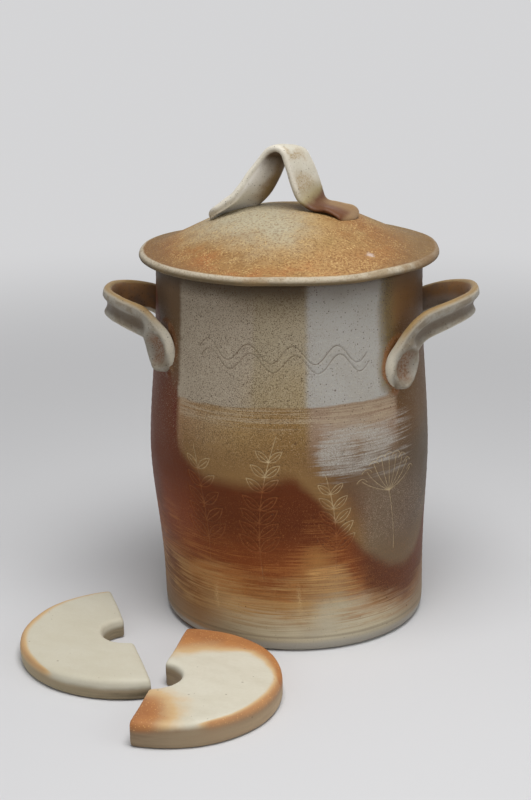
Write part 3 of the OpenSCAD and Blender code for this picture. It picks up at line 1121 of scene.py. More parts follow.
# %% [markdown]
# Every glaze starts from an empty material that reads the Object coordinates,
# and ends in one Principled BSDF with a bump.

# %% Start and end a glaze
def new_material(name):
    """A material with an empty tree, and its Object coordinates."""
    material = bpy.data.materials.new(name)
    material.use_nodes = True
    tree = material.node_tree
    tree.nodes.clear()
    return material, tree, add(tree, "TexCoord").outputs["Object"]


def glaze_shader(tree, colour, rough, height, distance, gloss=0.25):
    """Ends a glaze in a Principled BSDF with a bump. A dry, ashy face has less
    gloss than a wet glass one, which would have 0.5."""
    bump = add(tree, "Bump", None, Height=height, Distance=distance, Strength=1.0)
    shader = add(tree, "BsdfPrincipled", None, Base_Color=colour, Roughness=rough,
                 Normal=bump.outputs["Normal"])
    shader.inputs["Specular IOR Level"].default_value = gloss
    end = add(tree, "OutputMaterial")
    tree.links.new(shader.outputs[0], end.inputs["Surface"])


def radius_of(tree, place):
    """Distance from the pot's axis."""
    flat = add(tree, "VectorMath", {"operation": "MULTIPLY"})
    feed(tree, flat.inputs[0], place)
    flat.inputs[1].default_value = (1, 1, 0)
    long = add(tree, "VectorMath", {"operation": "LENGTH"})
    feed(tree, long.inputs[0], flat.outputs[0])
    return long.outputs["Value"]


# %% [markdown]
# The crock's layers go on as they did in the pottery: the ground, the low
# strokes, the flame, the dry brush, and the pale dipped band with its pepper.
# Noise stretched round the pot frays every border sideways, as the brush did.

# %% Start the crock's glaze
crock_glaze, tree, place = new_material("crock_wood_fired_glaze")
on = use(tree, wall_place, Place=place)
az, z = on["Azimuth"], on["Height"]
grained = use(tree, grain, Place=place, Scale=520.0)
fray = cloud(tree, stretch(tree, place, (24, 24, 330)), 1.0, 4.0, 0.65)
soft_fray = cloud(tree, place, 30.0, 3.0, 0.6)
pepper = cloud(tree, place, 1200.0, 2.0, 0.7)


def shifted(value, amount, source=fray):
    """A value moved by the crock's own noise."""
    return strayed(tree, value, amount, source)


def zone(value, low, low_full, high_full, high):
    """A mask that is full between two values and fades outside them."""
    return times(tree, rise(tree, value, low, low_full), rise(tree, value, high, high_full))


print("the crock's glaze starts from", len(tree.nodes), "nodes")

# %% [markdown]
# The ground goes on from the foot up, one ramp of tones after another. Where
# two of them meet, the brushed noise frays the step. High up the wall is
# smooth, so the last step is left plain.

# %% The ground
frayed = shifted(z, 26)
heights = sorted(ground_tones)
colour = tones_round(tree, az, ground_tones[heights[0]])
for under, over in zip(heights, heights[1:]):
    step_up = rise(tree, z if over > 188 else frayed, under, over)
    colour = paint(tree, step_up, colour, tones_round(tree, az, ground_tones[over]))
print("with the ground:", len(tree.nodes), "nodes")

# %% [markdown]
# Low down a dry brush left cream and golden strokes. The shared streaks give
# the strokes, and a zone in azimuth and height says where each colour went.

# %% Cream and golden strokes
golden = use(tree, streaks, Place=place, Fine=850.0, Long=24.0, Cover=0.46, Soft=0.2)
golden_zone = times(tree, zone(z, 20, 34, 52, 84), zone(az, -120, -72, 24, 34))
colour = paint(tree, times(tree, golden["Mask"], golden_zone, 0.62), colour,
               paint(tree, soft_fray, tint(198, 152, 92), tint(190, 158, 108)))
cream = use(tree, streaks, Place=stretch(tree, place, (1, 1, 1), (0.4, 0.2, 0.1)),
            Fine=700.0, Long=20.0, Cover=0.55, Soft=0.22)
cream_zone = times(tree, zone(z, 7, 14, 24, 50), zone(az, -44, -18, 38, 60))
colour = paint(tree, times(tree, cream["Mask"], cream_zone, 0.6), colour,
               tint(202, 190, 160))
pale_patch = times(tree, zone(shifted(az, 10, soft_fray), 6, 14, 26, 38),
                   zone(shifted(z, 12), 14, 24, 36, 50), soft_fray)
colour = paint(tree, times(tree, pale_patch, 0.9), colour, tint(190, 182, 160))
tan_zone = times(tree, zone(shifted(z, 14), 12, 20, 30, 40), zone(az, 14, 24, 60, 74))
colour = paint(tree, times(tree, golden["Mask"], tan_zone, 0.6), colour,
               tint(156, 112, 68))
print("with the low strokes:", len(tree.nodes), "nodes")

# %% [markdown]
# Wood flame turned the clay from ochre to deep red brown. An ochre halo runs
# along the upper border, then the flame fills the wall between its borders. It
# is lighter at its foot, and darker and greyer on the right.

# %% The flame
top = border(tree, az, flame_top)
above = calc(tree, "SUBTRACT", shifted(shifted(z, 4), 8, soft_fray), top)
halo = times(tree, rise(tree, above, 36, 4), rise(tree, above, -12, 0),
             zone(az, -50, -44, 66, 84))
colour = paint(tree, times(tree, halo, 0.85), colour,
               paint(tree, rise(tree, az, 26, 36), tint(136, 104, 64), tint(118, 98, 74)))
foot = border(tree, az, flame_foot)
below = calc(tree, "SUBTRACT", shifted(shifted(z, 34), 18, soft_fray), foot)
flame = times(tree, rise(tree, above, 5, -10), rise(tree, below, -9, 12))
flame_tone = paint(tree, rise(tree, shifted(z, 30), 66, 116), tint(130, 68, 32),
                   tint(96, 46, 19))
flame_tone = paint(tree, times(tree, zone(shifted(az, 8), -70, -60, -46, -34),
                               zone(z, 50, 74, 100, 150)), flame_tone, tint(124, 62, 32))
flame_tone = paint(tree, times(tree, zone(az, 20, 36, 100, 160), 0.85), flame_tone,
                   tint(88, 52, 34))
colour = paint(tree, flame, colour, flame_tone)
print("with the flame:", len(tree.nodes), "nodes")

# %% [markdown]
# Where the flame died out at its foot, brushed slip shows through it in pale
# orange streaks, and slip ran down in two short drips.

# %% Streaks and drips at the flame's foot
licked = use(tree, streaks, Place=stretch(tree, place, (1, 1, 1), (0.7, 0.3, 0.6)),
             Fine=900.0, Long=26.0, Cover=0.4, Soft=0.18)
licked_zone = times(tree, zone(below, -34, -12, 8, 34), zone(az, -130, -80, 22, 40))
colour = paint(tree, times(tree, licked["Mask"], licked_zone, 0.6), colour,
               tint(172, 112, 60))
touch = times(tree, licked["Mask"], zone(shifted(az, 6), 4, 9, 20, 26),
              zone(shifted(z, 6), 58, 62, 68, 74))
colour = paint(tree, times(tree, touch, 0.8), colour, tint(214, 166, 104))
for at_az, high, low in ((-34, 58, 40), (3.2, 62, 42)):
    drip = times(tree, zone(shifted(az, 9, soft_fray), at_az - 2.2, at_az, at_az,
                            at_az + 1.4), rise(tree, pepper, 0.4, 0.6),
                 zone(shifted(z, 20), low - 12, low, high - 16, high))
    colour = paint(tree, times(tree, drip, 0.7), colour, tint(206, 176, 126))
print("with streaks and drips:", len(tree.nodes), "nodes")

# %% [markdown]
# On the right a nearly dry brush of pale slip crossed the wall in two
# overlapping patches, and grit in the clay broke the strokes. A dust of the
# same slip lies below, and thin ruled lines run just under the band.

# %% Dry pale strokes
right_one = times(tree, zone(shifted(az, 14), 6, 14, 22, 34),
                  zone(shifted(z, 16, soft_fray), 142, 160, 178, 196))
right_two = times(tree, zone(shifted(az, 12), 24, 32, 40, 50),
                  zone(shifted(z, 14), 148, 160, 172, 186))
dry_zone = calc(tree, "MAXIMUM", right_one, right_two)
faint = times(tree, zone(az, 8, 14, 48, 66), zone(shifted(z, 20), 134, 154, 182, 200))
dry = use(tree, streaks, Place=place, Fine=760.0, Long=20.0, Soft=0.26,
          Cover=calc(tree, "MULTIPLY_ADD", dry_zone, 0.42, times(tree, faint, 0.36)))
grit = calc(tree, "MULTIPLY_ADD", rise(tree, pepper, 0.62, 0.4), 0.5, 0.5)
dry_share = times(tree, dry["Mask"], calc(tree, "MAXIMUM", dry_zone, faint), grit)
colour = paint(tree, times(tree, dry_share, 0.92), colour, tint(176, 172, 164))
dusty = times(tree, rise(tree, pepper, 0.5, 0.64), zone(az, 24, 34, 66, 84),
              zone(shifted(z, 30, soft_fray), 78, 100, 120, 148))
colour = paint(tree, times(tree, dusty, 0.5), colour, tint(170, 162, 148))
ruled = use(tree, streaks, Place=stretch(tree, place, (1, 1, 1), (0.3, 0.1, 0.2)),
            Fine=900.0, Long=12.0, Cover=0.5, Soft=0.12)
ruled_zone = times(tree, zone(z, 182, 192, 200, 206), zone(az, -51, -48, 46, 49))
colour = paint(tree, times(tree, ruled["Mask"], ruled_zone, 0.5), colour,
               tint(184, 168, 142))
print("with the dry strokes:", len(tree.nodes), "nodes")

# %% [markdown]
# The upper band was dipped in slip, in overlapping pours: a warm one on the
# left, with an ochre stain and a smoked patch, and a cool one on the right.
# Its lower border rises a little round the pot.

# %% The dipped band
band_low = calc(tree, "MULTIPLY_ADD", rise(tree, az, -50, -10), 3.0, 200.5)
band_low = calc(tree, "MULTIPLY_ADD", rise(tree, az, -5, 40), 1.5, band_low)
band = times(tree, rise(tree, calc(tree, "SUBTRACT", shifted(shifted(z, 5), 4, soft_fray),
                                   band_low), -0.8, 1.0),
             rise(tree, shifted(az, 2.5), -52.2, -49.8),
             rise(tree, shifted(az, 7, soft_fray), 45, 41.0))
pour = paint(tree, rise(tree, shifted(az, 3), -16, -13), tint(170, 157, 138),
             tint(164, 151, 126))
stain = times(tree, zone(shifted(az, 8, soft_fray), -24, -8, 4, 8),
              rise(tree, shifted(z, 30, soft_fray), 250, 208))
pour = paint(tree, times(tree, stain, 0.6), pour, tint(158, 136, 94))
smoke = times(tree, zone(shifted(az, 10, soft_fray), -34, -14, 6, 14),
              rise(tree, shifted(z, 24, soft_fray), 262, 290))
pour = paint(tree, times(tree, smoke, 0.65), pour, tint(122, 106, 80))
slip = paint(tree, rise(tree, shifted(az, 2), 5.5, 8.5), pour, tint(169, 166, 160))
slip = paint(tree, times(tree, grained["Tone"], 0.3), slip, tint(152, 142, 124))
colour = paint(tree, band, colour, slip)
print("with the band:", len(tree.nodes), "nodes")

# %% [markdown]
# The band's right border is dusty with ochre and dark crumbs, where slip and
# flame met. Flame also blushed the clay beside it and flashed round the pads
# of the handles. The very top of the wall, under the lid, is darkened with a
# painted shadow.

# %% Round the band's borders
fringe = times(tree, zone(shifted(az, 6, soft_fray), 38.5, 42, 44, 51),
               rise(tree, z, 202, 214))
colour = paint(tree, times(tree, fringe, 0.6), colour, tint(106, 92, 68))
dust = times(tree, zone(shifted(az, 5, soft_fray), 37, 42, 47, 53),
             rise(tree, z, 204, 216))
colour = paint(tree, times(tree, dust, rise(tree, pepper, 0.52, 0.62), 0.6), colour,
               tint(158, 134, 66))
colour = paint(tree, times(tree, dust, rise(tree, pepper, 0.45, 0.36), 0.6), colour,
               tint(74, 60, 40))
blush = times(tree, zone(shifted(az, 8, soft_fray), 45, 52, 60, 74),
              rise(tree, z, 208, 230))
colour = paint(tree, times(tree, blush, 0.5), colour, tint(132, 92, 52))
by_pad = add(tree, "Attribute", {"attribute_name": "beside_pad"}).outputs["Fac"]
flash = times(tree, rise(tree, by_pad, 0.3, 0.9),
              rise(tree, calc(tree, "MULTIPLY_ADD", pepper, 0.6, soft_fray), 0.62, 0.86))
colour = paint(tree, times(tree, flash, 0.8), colour,
               paint(tree, rise(tree, az, -20, 20), tint(116, 74, 46), tint(132, 84, 46)))
seam_az = calc(tree, "MULTIPLY_ADD", z, -0.0667, smear_az + smear_top * 0.0667)
seam = times(tree, rise(tree, calc(tree, "ABSOLUTE", calc(tree, "SUBTRACT", az, seam_az)),
                        1.5, 0.5), zone(z, 214, 222, 250, 260))
colour = paint(tree, times(tree, seam, 0.4), colour, tint(150, 112, 78))
left_seam = times(tree, zone(shifted(az, 3), -60, -53, -51, -49), rise(tree, z, 204, 222))
colour = paint(tree, times(tree, left_seam, 0.35), colour, tint(88, 68, 46))
# Painted shadow: the top of the wall under the lid is darkened, less on the cool slip to the
# right.
painted_lid_shadow = times(tree, rise(tree, shifted(z, 8, soft_fray), 280, 294),
              calc(tree, "MULTIPLY_ADD", rise(tree, az, 4, 10), -0.45, 1.0))
colour = paint(tree, times(tree, painted_lid_shadow, 0.85), colour, tint(68, 56, 42))
print("with the borders:", len(tree.nodes), "nodes")

# %% [markdown]
# Fine iron peppers the glaze dark, thickest on the band and on the ochre below
# it, and ash peppers it pale. Both are one fine noise, cut high for the dark
# grains and low for the light ones. Low on the flame the cuts are swapped.

# %% Pepper of iron and ash
peppered = times(tree, rise(tree, calc(tree, "MULTIPLY_ADD", soft_fray, 0.12, pepper),
                            0.56, 0.68),
                 zone(shifted(az, 8, soft_fray), -54, -46, 4, 12),
                 rise(tree, shifted(z, 50, soft_fray), 128, 176))
colour = paint(tree, times(tree, peppered, 0.68), colour, tint(84, 64, 44))
sparse = times(tree, rise(tree, pepper, 0.58, 0.7), rise(tree, z, 90, 200),
               zone(shifted(az, 8), 4, 10, 60, 90))
colour = paint(tree, times(tree, sparse, 0.4), colour, tint(96, 80, 60))
light = times(tree, rise(tree, pepper, 0.42, 0.3), zone(z, 130, 190, 252, 272))
colour = paint(tree, times(tree, light, 0.45), colour, tint(208, 196, 170))
sandy = zone(shifted(z, 20, soft_fray), 16, 50, 110, 150)
colour = paint(tree, times(tree, rise(tree, pepper, 0.56, 0.7), sandy, 0.4), colour,
               tint(190, 128, 76))
colour = paint(tree, times(tree, rise(tree, pepper, 0.44, 0.3), sandy, 0.3), colour,
               tint(66, 34, 18))
print("with the pepper:", len(tree.nodes), "nodes")

# %% [markdown]
# Slip stayed in the scratches: pale on the ochre, tan over the flame and dark
# in the band. The mesh carries how deep each place is cut, so the colour
# follows the groove.
# Iron specks, the trimmed line above the foot, the bare foot itself and the
# plain glaze inside finish the colour.

# %% Scratches, specks and the bare foot
cut = add(tree, "Attribute", {"attribute_name": "scratch"}).outputs["Fac"]
on_flame = times(tree, rise(tree, above, 5, -9), rise(tree, z, 62, 78))
in_cut = paint(tree, on_flame, tint(206, 184, 144), tint(150, 94, 54))
in_cut = paint(tree, rise(tree, z, 78, 62), in_cut, tint(112, 70, 42))
in_cut = paint(tree, band, in_cut, tint(98, 80, 58))
broken = calc(tree, "MULTIPLY_ADD", cloud(tree, place, 120.0, 3.0, 0.7), 2.0, -0.2)
scored = times(tree, rise(tree, cut, 0.35, 0.95), broken)
colour = paint(tree, calc(tree, "MINIMUM", times(tree, scored, 0.72), 0.75), colour,
               in_cut)
dots = use(tree, specks, Place=place, Scale=640.0, Amount=0.3, Size=0.34)["Mask"]
speck_zone = calc(tree, "MULTIPLY_ADD", rise(tree, z, 120, 215), 0.55, 0.25)
colour = paint(tree, times(tree, dots, speck_zone), colour, tint(62, 44, 30))
big_dots = use(tree, specks, Place=place, Scale=230.0, Amount=0.05, Size=0.22)["Mask"]
colour = paint(tree, times(tree, big_dots, 0.7), colour, tint(72, 46, 32))
turned = zone(z, 11.2, 12.4, 12.8, 14.5)
colour = paint(tree, times(tree, turned, 0.35), colour, tint(104, 92, 76))
bare = rise(tree, shifted(z, 4), 11, 6)
colour = paint(tree, times(tree, bare, 0.75), colour, tint(160, 156, 148))
inside = calc(tree, "LESS_THAN", radius_of(tree, place), 0.1045)
colour = paint(tree, inside, colour,
               paint(tree, soft_fray, tint(112, 78, 52), tint(96, 74, 56)))
print("with scratches and specks:", len(tree.nodes), "nodes")

# %% [markdown]
# Slip is drier than glaze, so the band and the cream strokes are rougher. The
# streaks, the grain and the pepper lift the surface a little, and the specks
# sink into it.

# %% Gloss and bump of the crock's glaze
matt = calc(tree, "MULTIPLY_ADD", calc(tree, "MAXIMUM", band, cream_zone), 0.16, 0.42)
rough = calc(tree, "MULTIPLY_ADD", grained["Tone"], 0.12, matt)
height = calc(tree, "MULTIPLY_ADD", golden["Height"], 0.5, grained["Height"])
height = calc(tree, "MULTIPLY_ADD", dots, -0.4, height)
height = calc(tree, "MULTIPLY_ADD", pepper, times(tree, band, 0.8), height)
glaze_shader(tree, colour, rough, height, 0.16 * MM, 0.12)
thrown_crock.data.materials.append(crock_glaze)
print("the crock's glaze:", len(tree.nodes), "nodes")

# %% [markdown]
# ## The handles' glaze
# Slip broke pale on the raised edges of the straps, stayed grey on their outer
# faces and burnt orange to dark brown on the inner faces, which the flame
# reached. The place kept on each vertex says which face it is on, so all the
# straps share the same masks.

# %% The parts of a strap
def strap_parts(tree, place):
    """Masks over a strap: its face, rounded edges and inner face, and noises."""
    kept = add(tree, "Attribute", {"attribute_name": "strap"}).outputs["Vector"]
    axis = add(tree, "SeparateXYZ", None, Vector=kept).outputs
    mottle = cloud(tree, place, 70.0, 4.0, 0.65)
    wide = strayed(tree, calc(tree, "ABSOLUTE", axis["X"]), 0.3, mottle)
    return {"across": axis["X"], "along": axis["Y"], "out": axis["Z"], "mottle": mottle,
            "fine": cloud(tree, place, 650.0, 3.0, 0.7),
            "edge": rise(tree, wide, 0.74, 0.92),
            "inner": times(tree, rise(tree, axis["Z"], 0.1, -0.35),
                           rise(tree, wide, 0.94, 0.8))}


def finish_strap(tree, place, part, colour, pepper_share):
    """Lays on pepper and iron specks, and ends the glaze of a strap."""
    peppered = times(tree, rise(tree, part["fine"], 0.56, 0.7), pepper_share)
    colour = paint(tree, peppered, colour, tint(96, 76, 54))
    dots = use(tree, specks, Place=place, Scale=520.0, Amount=0.24, Size=0.32)["Mask"]
    colour = paint(tree, times(tree, dots, 0.6), colour, tint(60, 44, 32))
    grained = use(tree, grain, Place=place, Scale=600.0)
    rough = calc(tree, "MULTIPLY_ADD", grained["Tone"], 0.15, 0.4)
    height = calc(tree, "MULTIPLY_ADD", part["fine"], 0.6, grained["Height"])
    glaze_shader(tree, colour, rough, height, 0.16 * MM)


# %% [markdown]
# On the side handles the finger's groove is darker, partly from slip pooled in
# it and partly as a painted shade, and the thumb prints blushed rusty. The
# upper edges caught ochre ash, and the lower inner face of the right handle,
# away from the flame, stayed grey.

# %% The side handles' glaze
def side_handle_glaze():
    """Grey slip, dark in the groove, rusty in the thumb prints, burnt inside."""
    material, tree, place = new_material("side_handle_glaze")
    part = strap_parts(tree, place)
    axis = add(tree, "SeparateXYZ", None, Vector=place).outputs
    face = paint(tree, rise(tree, part["mottle"], 0.4, 0.66), tint(158, 152, 140),
                 tint(132, 120, 102))
    middle = rise(tree, calc(tree, "ABSOLUTE", part["across"]), 0.62, 0.25)
    groove_at = 0.22
    off_groove = calc(tree, "ABSOLUTE", calc(tree, "SUBTRACT", part["across"], groove_at))
    groove = times(tree, rise(tree, off_groove, 0.52, 0.2),
                   rise(tree, part["along"], 0.6, 0.78))
    # Pooled slip and a painted shade darken the groove.
    colour = paint(tree, times(tree, groove, 0.8), face, tint(102, 88, 72))
    colour = paint(tree, times(tree, part["edge"], 0.9), colour, tint(202, 194, 176))
    thumb = times(tree, middle, rise(tree, part["along"], 0.58, 0.46),
                  rise(tree, part["along"], 0.08, 0.18))
    blush = calc(tree, "MULTIPLY_ADD", rise(tree, part["fine"], 0.42, 0.6), 0.5, 0.4)
    colour = paint(tree, times(tree, thumb, blush), colour, tint(132, 92, 60))
    burnt = paint(tree, rise(tree, part["mottle"], 0.36, 0.62), tint(106, 86, 70),
                  tint(124, 92, 62))
    near_crest = rise(tree, part["along"], 1.0, 1.6)
    burnt = paint(tree, times(tree, near_crest, 0.5), burnt, tint(140, 98, 54))
    greyed = times(tree, rise(tree, part["across"], -0.2, 0.5),
                   rise(tree, axis["X"], -0.05, 0.05))
    burnt = paint(tree, times(tree, greyed, 0.7), burnt, tint(132, 120, 110))
    colour = paint(tree, part["inner"], colour, burnt)
    upper = times(tree, part["edge"], rise(tree, part["out"], 1.0, 0.3),
                  rise(tree, part["across"], 0.3, -0.3),
                  rise(tree, part["along"], 0.4, 0.75))
    colour = paint(tree, times(tree, upper, 0.95), colour,
                   paint(tree, part["mottle"], tint(152, 124, 76), tint(124, 96, 56)))
    finish_strap(tree, place, part, colour, 0.4)
    return material


side_glaze = side_handle_glaze()
left_pull.data.materials.append(side_glaze)
right_pull.data.materials.append(side_glaze)
print("the side handles' glaze:", len(side_glaze.node_tree.nodes), "nodes")

# %% [markdown]
# The lid's strap is paler. Two sandy patches cross its outer face, its right
# foot went through olive and dark red to a dull tan tongue, and its inner face
# is burnt along the rear edge. By the left foot the inner face is cream slip
# brightened to near white as painted light.

# %% The lid strap's glaze
def lid_strap_glaze():
    """Cream slip with sandy patches, a flashed right foot, a burnt inside and painted light
    on the inside by the left foot.
    """
    material, tree, place = new_material("lid_strap_glaze")
    part = strap_parts(tree, place)
    along = strayed(tree, part["along"], 0.06, part["mottle"])
    face = paint(tree, part["mottle"], tint(204, 200, 188), tint(188, 180, 160))
    drifted = calc(tree, "MULTIPLY_ADD", part["across"], 0.02,
                   strayed(tree, along, 0.1, part["mottle"]))
    sandy = calc(tree, "MULTIPLY_ADD", rise(tree, part["fine"], 0.4, 0.6), 0.5, 0.35)
    for middle, half in ((0.583, 0.035), (0.728, 0.07)):
        off = calc(tree, "ABSOLUTE", calc(tree, "SUBTRACT", drifted, middle))
        patch = times(tree, rise(tree, off, half, 0.0), sandy,
                      rise(tree, part["across"], -0.75, 0.1))
        face = paint(tree, times(tree, patch, 0.85), face, tint(152, 124, 78))
    face = paint(tree, rise(tree, along, 0.7, 0.785), face, tint(148, 134, 98))
    face = paint(tree, rise(tree, along, 0.765, 0.815), face, tint(90, 56, 32))
    face = paint(tree, times(tree, rise(tree, along, 0.806, 0.875), 0.8), face,
                 paint(tree, rise(tree, part["across"], -0.3, 0.5), tint(142, 112, 74),
                       tint(100, 60, 32)))
    face = paint(tree, times(tree, rise(tree, part["across"], -0.5, -0.9),
                             rise(tree, along, 0.815, 0.855)), face, tint(158, 130, 88))
    face = paint(tree, rise(tree, along, 0.94, 0.98), face, tint(136, 108, 76))
    colour = paint(tree, times(tree, part["edge"], rise(tree, along, 0.778, 0.7), 0.85),
                   face, tint(212, 206, 192))
    turned = strayed(tree, part["across"], 0.9, part["mottle"])
    # Painted light: by the left foot the inner face is near white, brighter than its cream
    # slip.
    rear = times(tree, rise(tree, turned, 0.25, -0.5), rise(tree, along, 0.15, 0.26))
    burnt = paint(tree, rear, tint(243, 240, 233), tint(178, 152, 114))
    burnt = paint(tree, times(tree, rise(tree, turned, -0.4, -1.0),
                              rise(tree, along, 0.18, 0.29)), burnt, tint(128, 104, 74))
    burnt = paint(tree, rise(tree, along, 0.32, 0.43), burnt, tint(98, 82, 66))
    colour = paint(tree, part["inner"], colour, burnt)
    finish_strap(tree, place, part, colour, 0.3)
    return material


lid_strap.data.materials.append(lid_strap_glaze())
print("the lid strap's glaze:", len(lid_strap.data.materials[0].node_tree.nodes), "nodes")

# %% [markdown]
# ## The lid's glaze
# Ash fell thickest on the lid and stayed grainy: pale crumbs over an
# orange-tan ground that turns redder towards the lip, with a cool grey drift
# to the left of the handle. The slip broke pale along the lip itself.

# %% The lid's ground
def near(tree, place, x, y, z=0.01):
    """Distance in mm from a point with x and y in mm, and z in metres."""
    away = add(tree, "VectorMath", {"operation": "DISTANCE"})
    feed(tree, away.inputs[0], place)
    away.inputs[1].default_value = (x * MM, y * MM, z)
    return calc(tree, "MULTIPLY", away.outputs["Value"], IN_MM)


lid_glaze, tree, place = new_material("lid_ash_glaze")
grained = use(tree, grain, Place=place, Scale=420.0)
mottle = cloud(tree, place, 26.0, 4.0, 0.62)
fine = cloud(tree, place, 520.0, 3.0, 0.75)
r = calc(tree, "MULTIPLY", radius_of(tree, place), IN_MM)
axis = add(tree, "SeparateXYZ", None, Vector=place).outputs
x = calc(tree, "MULTIPLY", axis["X"], IN_MM)
y = calc(tree, "MULTIPLY", axis["Y"], IN_MM)
r_fray = strayed(tree, r, 60.0, mottle)
colour = paint(tree, rise(tree, r_fray, 50, 112), tint(168, 140, 94),
               tint(152, 114, 70))
blotch = cloud(tree, stretch(tree, place, (1, 1, 1), (3, 1, 2)), 62.0, 4.0, 0.66)
colour = paint(tree, times(tree, rise(tree, blotch, 0.56, 0.4), 0.55), colour,
               tint(138, 104, 62))
print("the lid's ground:", len(tree.nodes), "nodes")

# %% [markdown]
# Flame reddened the lid's front and right, and darkened both its ends. The
# grey drift lies left of the handle, and the back and the far right are duller,
# where less ash fell. Radii and places are in millimetres here.

# %% Flame and drift on the lid
red = times(tree, rise(tree, r_fray, 84, 108), rise(tree, mottle, 0.4, 0.6),
            rise(tree, y, 40, -40))
colour = paint(tree, times(tree, red, 0.7), colour, tint(160, 102, 58))
right = times(tree, rise(tree, x, 6, 56), rise(tree, mottle, 0.66, 0.42))
colour = paint(tree, times(tree, right, 0.85), colour, tint(140, 96, 56))
ends = rise(tree, calc(tree, "ADD", r_fray, calc(
    tree, "MULTIPLY", calc(tree, "ABSOLUTE", x), 0.5)), 128, 168)
colour = paint(tree, times(tree, ends, 0.9), colour, tint(112, 82, 50))
olive = times(tree, rise(tree, mottle, 0.54, 0.68), rise(tree, r_fray, 100, 60))
colour = paint(tree, times(tree, olive, 0.8), colour, tint(130, 106, 62))
drift_x = calc(tree, "ADD", calc(tree, "MULTIPLY", x, 0.9), calc(tree, "MULTIPLY", y, 0.3))
drift = times(tree, rise(tree, calc(tree, "MULTIPLY_ADD", mottle, 44.0, drift_x), 36, 0),
              rise(tree, r_fray, 96, 44))
colour = paint(tree, times(tree, drift, 0.85), colour, tint(172, 166, 144))
back = rise(tree, calc(tree, "MULTIPLY_ADD", mottle, 50.0, y), 20, 90)
colour = paint(tree, times(tree, back, 0.75), colour, tint(122, 100, 66))
far_right = rise(tree, calc(tree, "MULTIPLY_ADD", y, 0.4, calc(
    tree, "MULTIPLY_ADD", mottle, 30.0, x)), 60, 116)
colour = paint(tree, times(tree, far_right, 0.7), colour, tint(126, 102, 68))
print("with flame and drift:", len(tree.nodes), "nodes")

# %% [markdown]
# Ash melted into crumbs: dark pits first, then pale crumbs where the ash lay
# thick, a golden field at the front, iron specks, and one small pink scar where
# something touched the wet glaze.

# %% Ash crumbs on the lid
colour = paint(tree, times(tree, rise(tree, fine, 0.52, 0.34), 0.65), colour,
               tint(112, 78, 44))
crumbs = use(tree, specks, Place=place, Scale=760.0, Amount=0.6, Size=0.5)["Mask"]
ashy = calc(tree, "MAXIMUM", rise(tree, fine, 0.56, 0.68), crumbs)
thick = cloud(tree, place, 90.0, 3.0, 0.6)
crumb_share = times(tree, ashy, rise(tree, thick, 0.34, 0.6),
                    calc(tree, "MULTIPLY_ADD", drift, -0.5, 1.0),
                    calc(tree, "MULTIPLY_ADD", ends, -0.5, 1.0))
colour = paint(tree, times(tree, crumb_share, 0.65), colour, tint(210, 178, 122))
golden = times(tree, rise(tree, calc(tree, "MULTIPLY_ADD", blotch, 60.0,
                                     near(tree, place, 45, -120, rim_z)), 118, 40),
               rise(tree, fine, 0.4, 0.56))
colour = paint(tree, times(tree, golden, 0.38), colour, tint(204, 172, 118))
dots = use(tree, specks, Place=place, Scale=560.0, Amount=0.3, Size=0.32)["Mask"]
colour = paint(tree, times(tree, dots, 0.5), colour, tint(92, 68, 42))
scar = rise(tree, calc(tree, "MULTIPLY_ADD", fine, 9.0,
                       near(tree, place, 62, -72, rim_z + 0.016)), 9, 5.5)
colour = paint(tree, times(tree, scar, 0.75), colour, tint(202, 184, 176))
print("with the crumbs:", len(tree.nodes), "nodes")

# %% [markdown]
# Glaze runs thin over a raised edge, so the lip broke pale, with tan stains
# and a darker underside. Below the rim the flange has a plain glaze.

# %% The lip, and the end of the lid's glaze
edge_at = strayed(tree, r, 5.0, mottle)
lip = times(tree, rise(tree, edge_at, (lip_r - 4.6 * MM) * IN_MM, (lip_r - 2.4 * MM) * IN_MM),
            calc(tree, "LESS_THAN", axis["Z"], rim_z + 14 * MM))
low_edge = rise(tree, axis["Z"], rim_z + 6.5 * MM, rim_z + 3 * MM)
lip_tone = paint(tree, low_edge, tint(190, 180, 160), tint(104, 92, 70))
lip_tone = paint(tree, times(tree, rise(tree, mottle, 0.46, 0.62), 0.6), lip_tone,
                 tint(140, 116, 80))
lip_tone = paint(tree, times(tree, rise(tree, fine, 0.5, 0.62), 0.35), lip_tone,
                 tint(98, 80, 56))
lip_tone = paint(tree, times(tree, rise(tree, calc(
    tree, "MULTIPLY_ADD", mottle, 40.0, x), 104, 136), 0.75), lip_tone, tint(120, 92, 62))
colour = paint(tree, times(tree, lip, 0.9), colour, lip_tone)
under = calc(tree, "LESS_THAN", axis["Z"], rim_z + 0.8 * MM)
colour = paint(tree, under, colour, tint(140, 110, 80))
rough = calc(tree, "MULTIPLY_ADD", fine, 0.25, 0.42)
height = calc(tree, "MULTIPLY_ADD", crumbs, 0.4,
              calc(tree, "MULTIPLY_ADD", fine, 1.4, grained["Height"]))
glaze_shader(tree, colour, rough, height, 0.34 * MM, 0.12)
thrown_lid.data.materials.append(lid_glaze)
print("the lid's glaze:", len(tree.nodes), "nodes")

# %% [markdown]
# ## The weights' glaze
# The weights were dipped in a smooth cream slip. Where they lay near the fire
# box the flame flashed their edges orange: a faint touch on the left one, and
# a strong one along the back and one corner of the right one. A flash follows
# a round edge and is widest on the side that faced the fire, so its mask is
# made from the distance to the edge and the bearing from the middle.

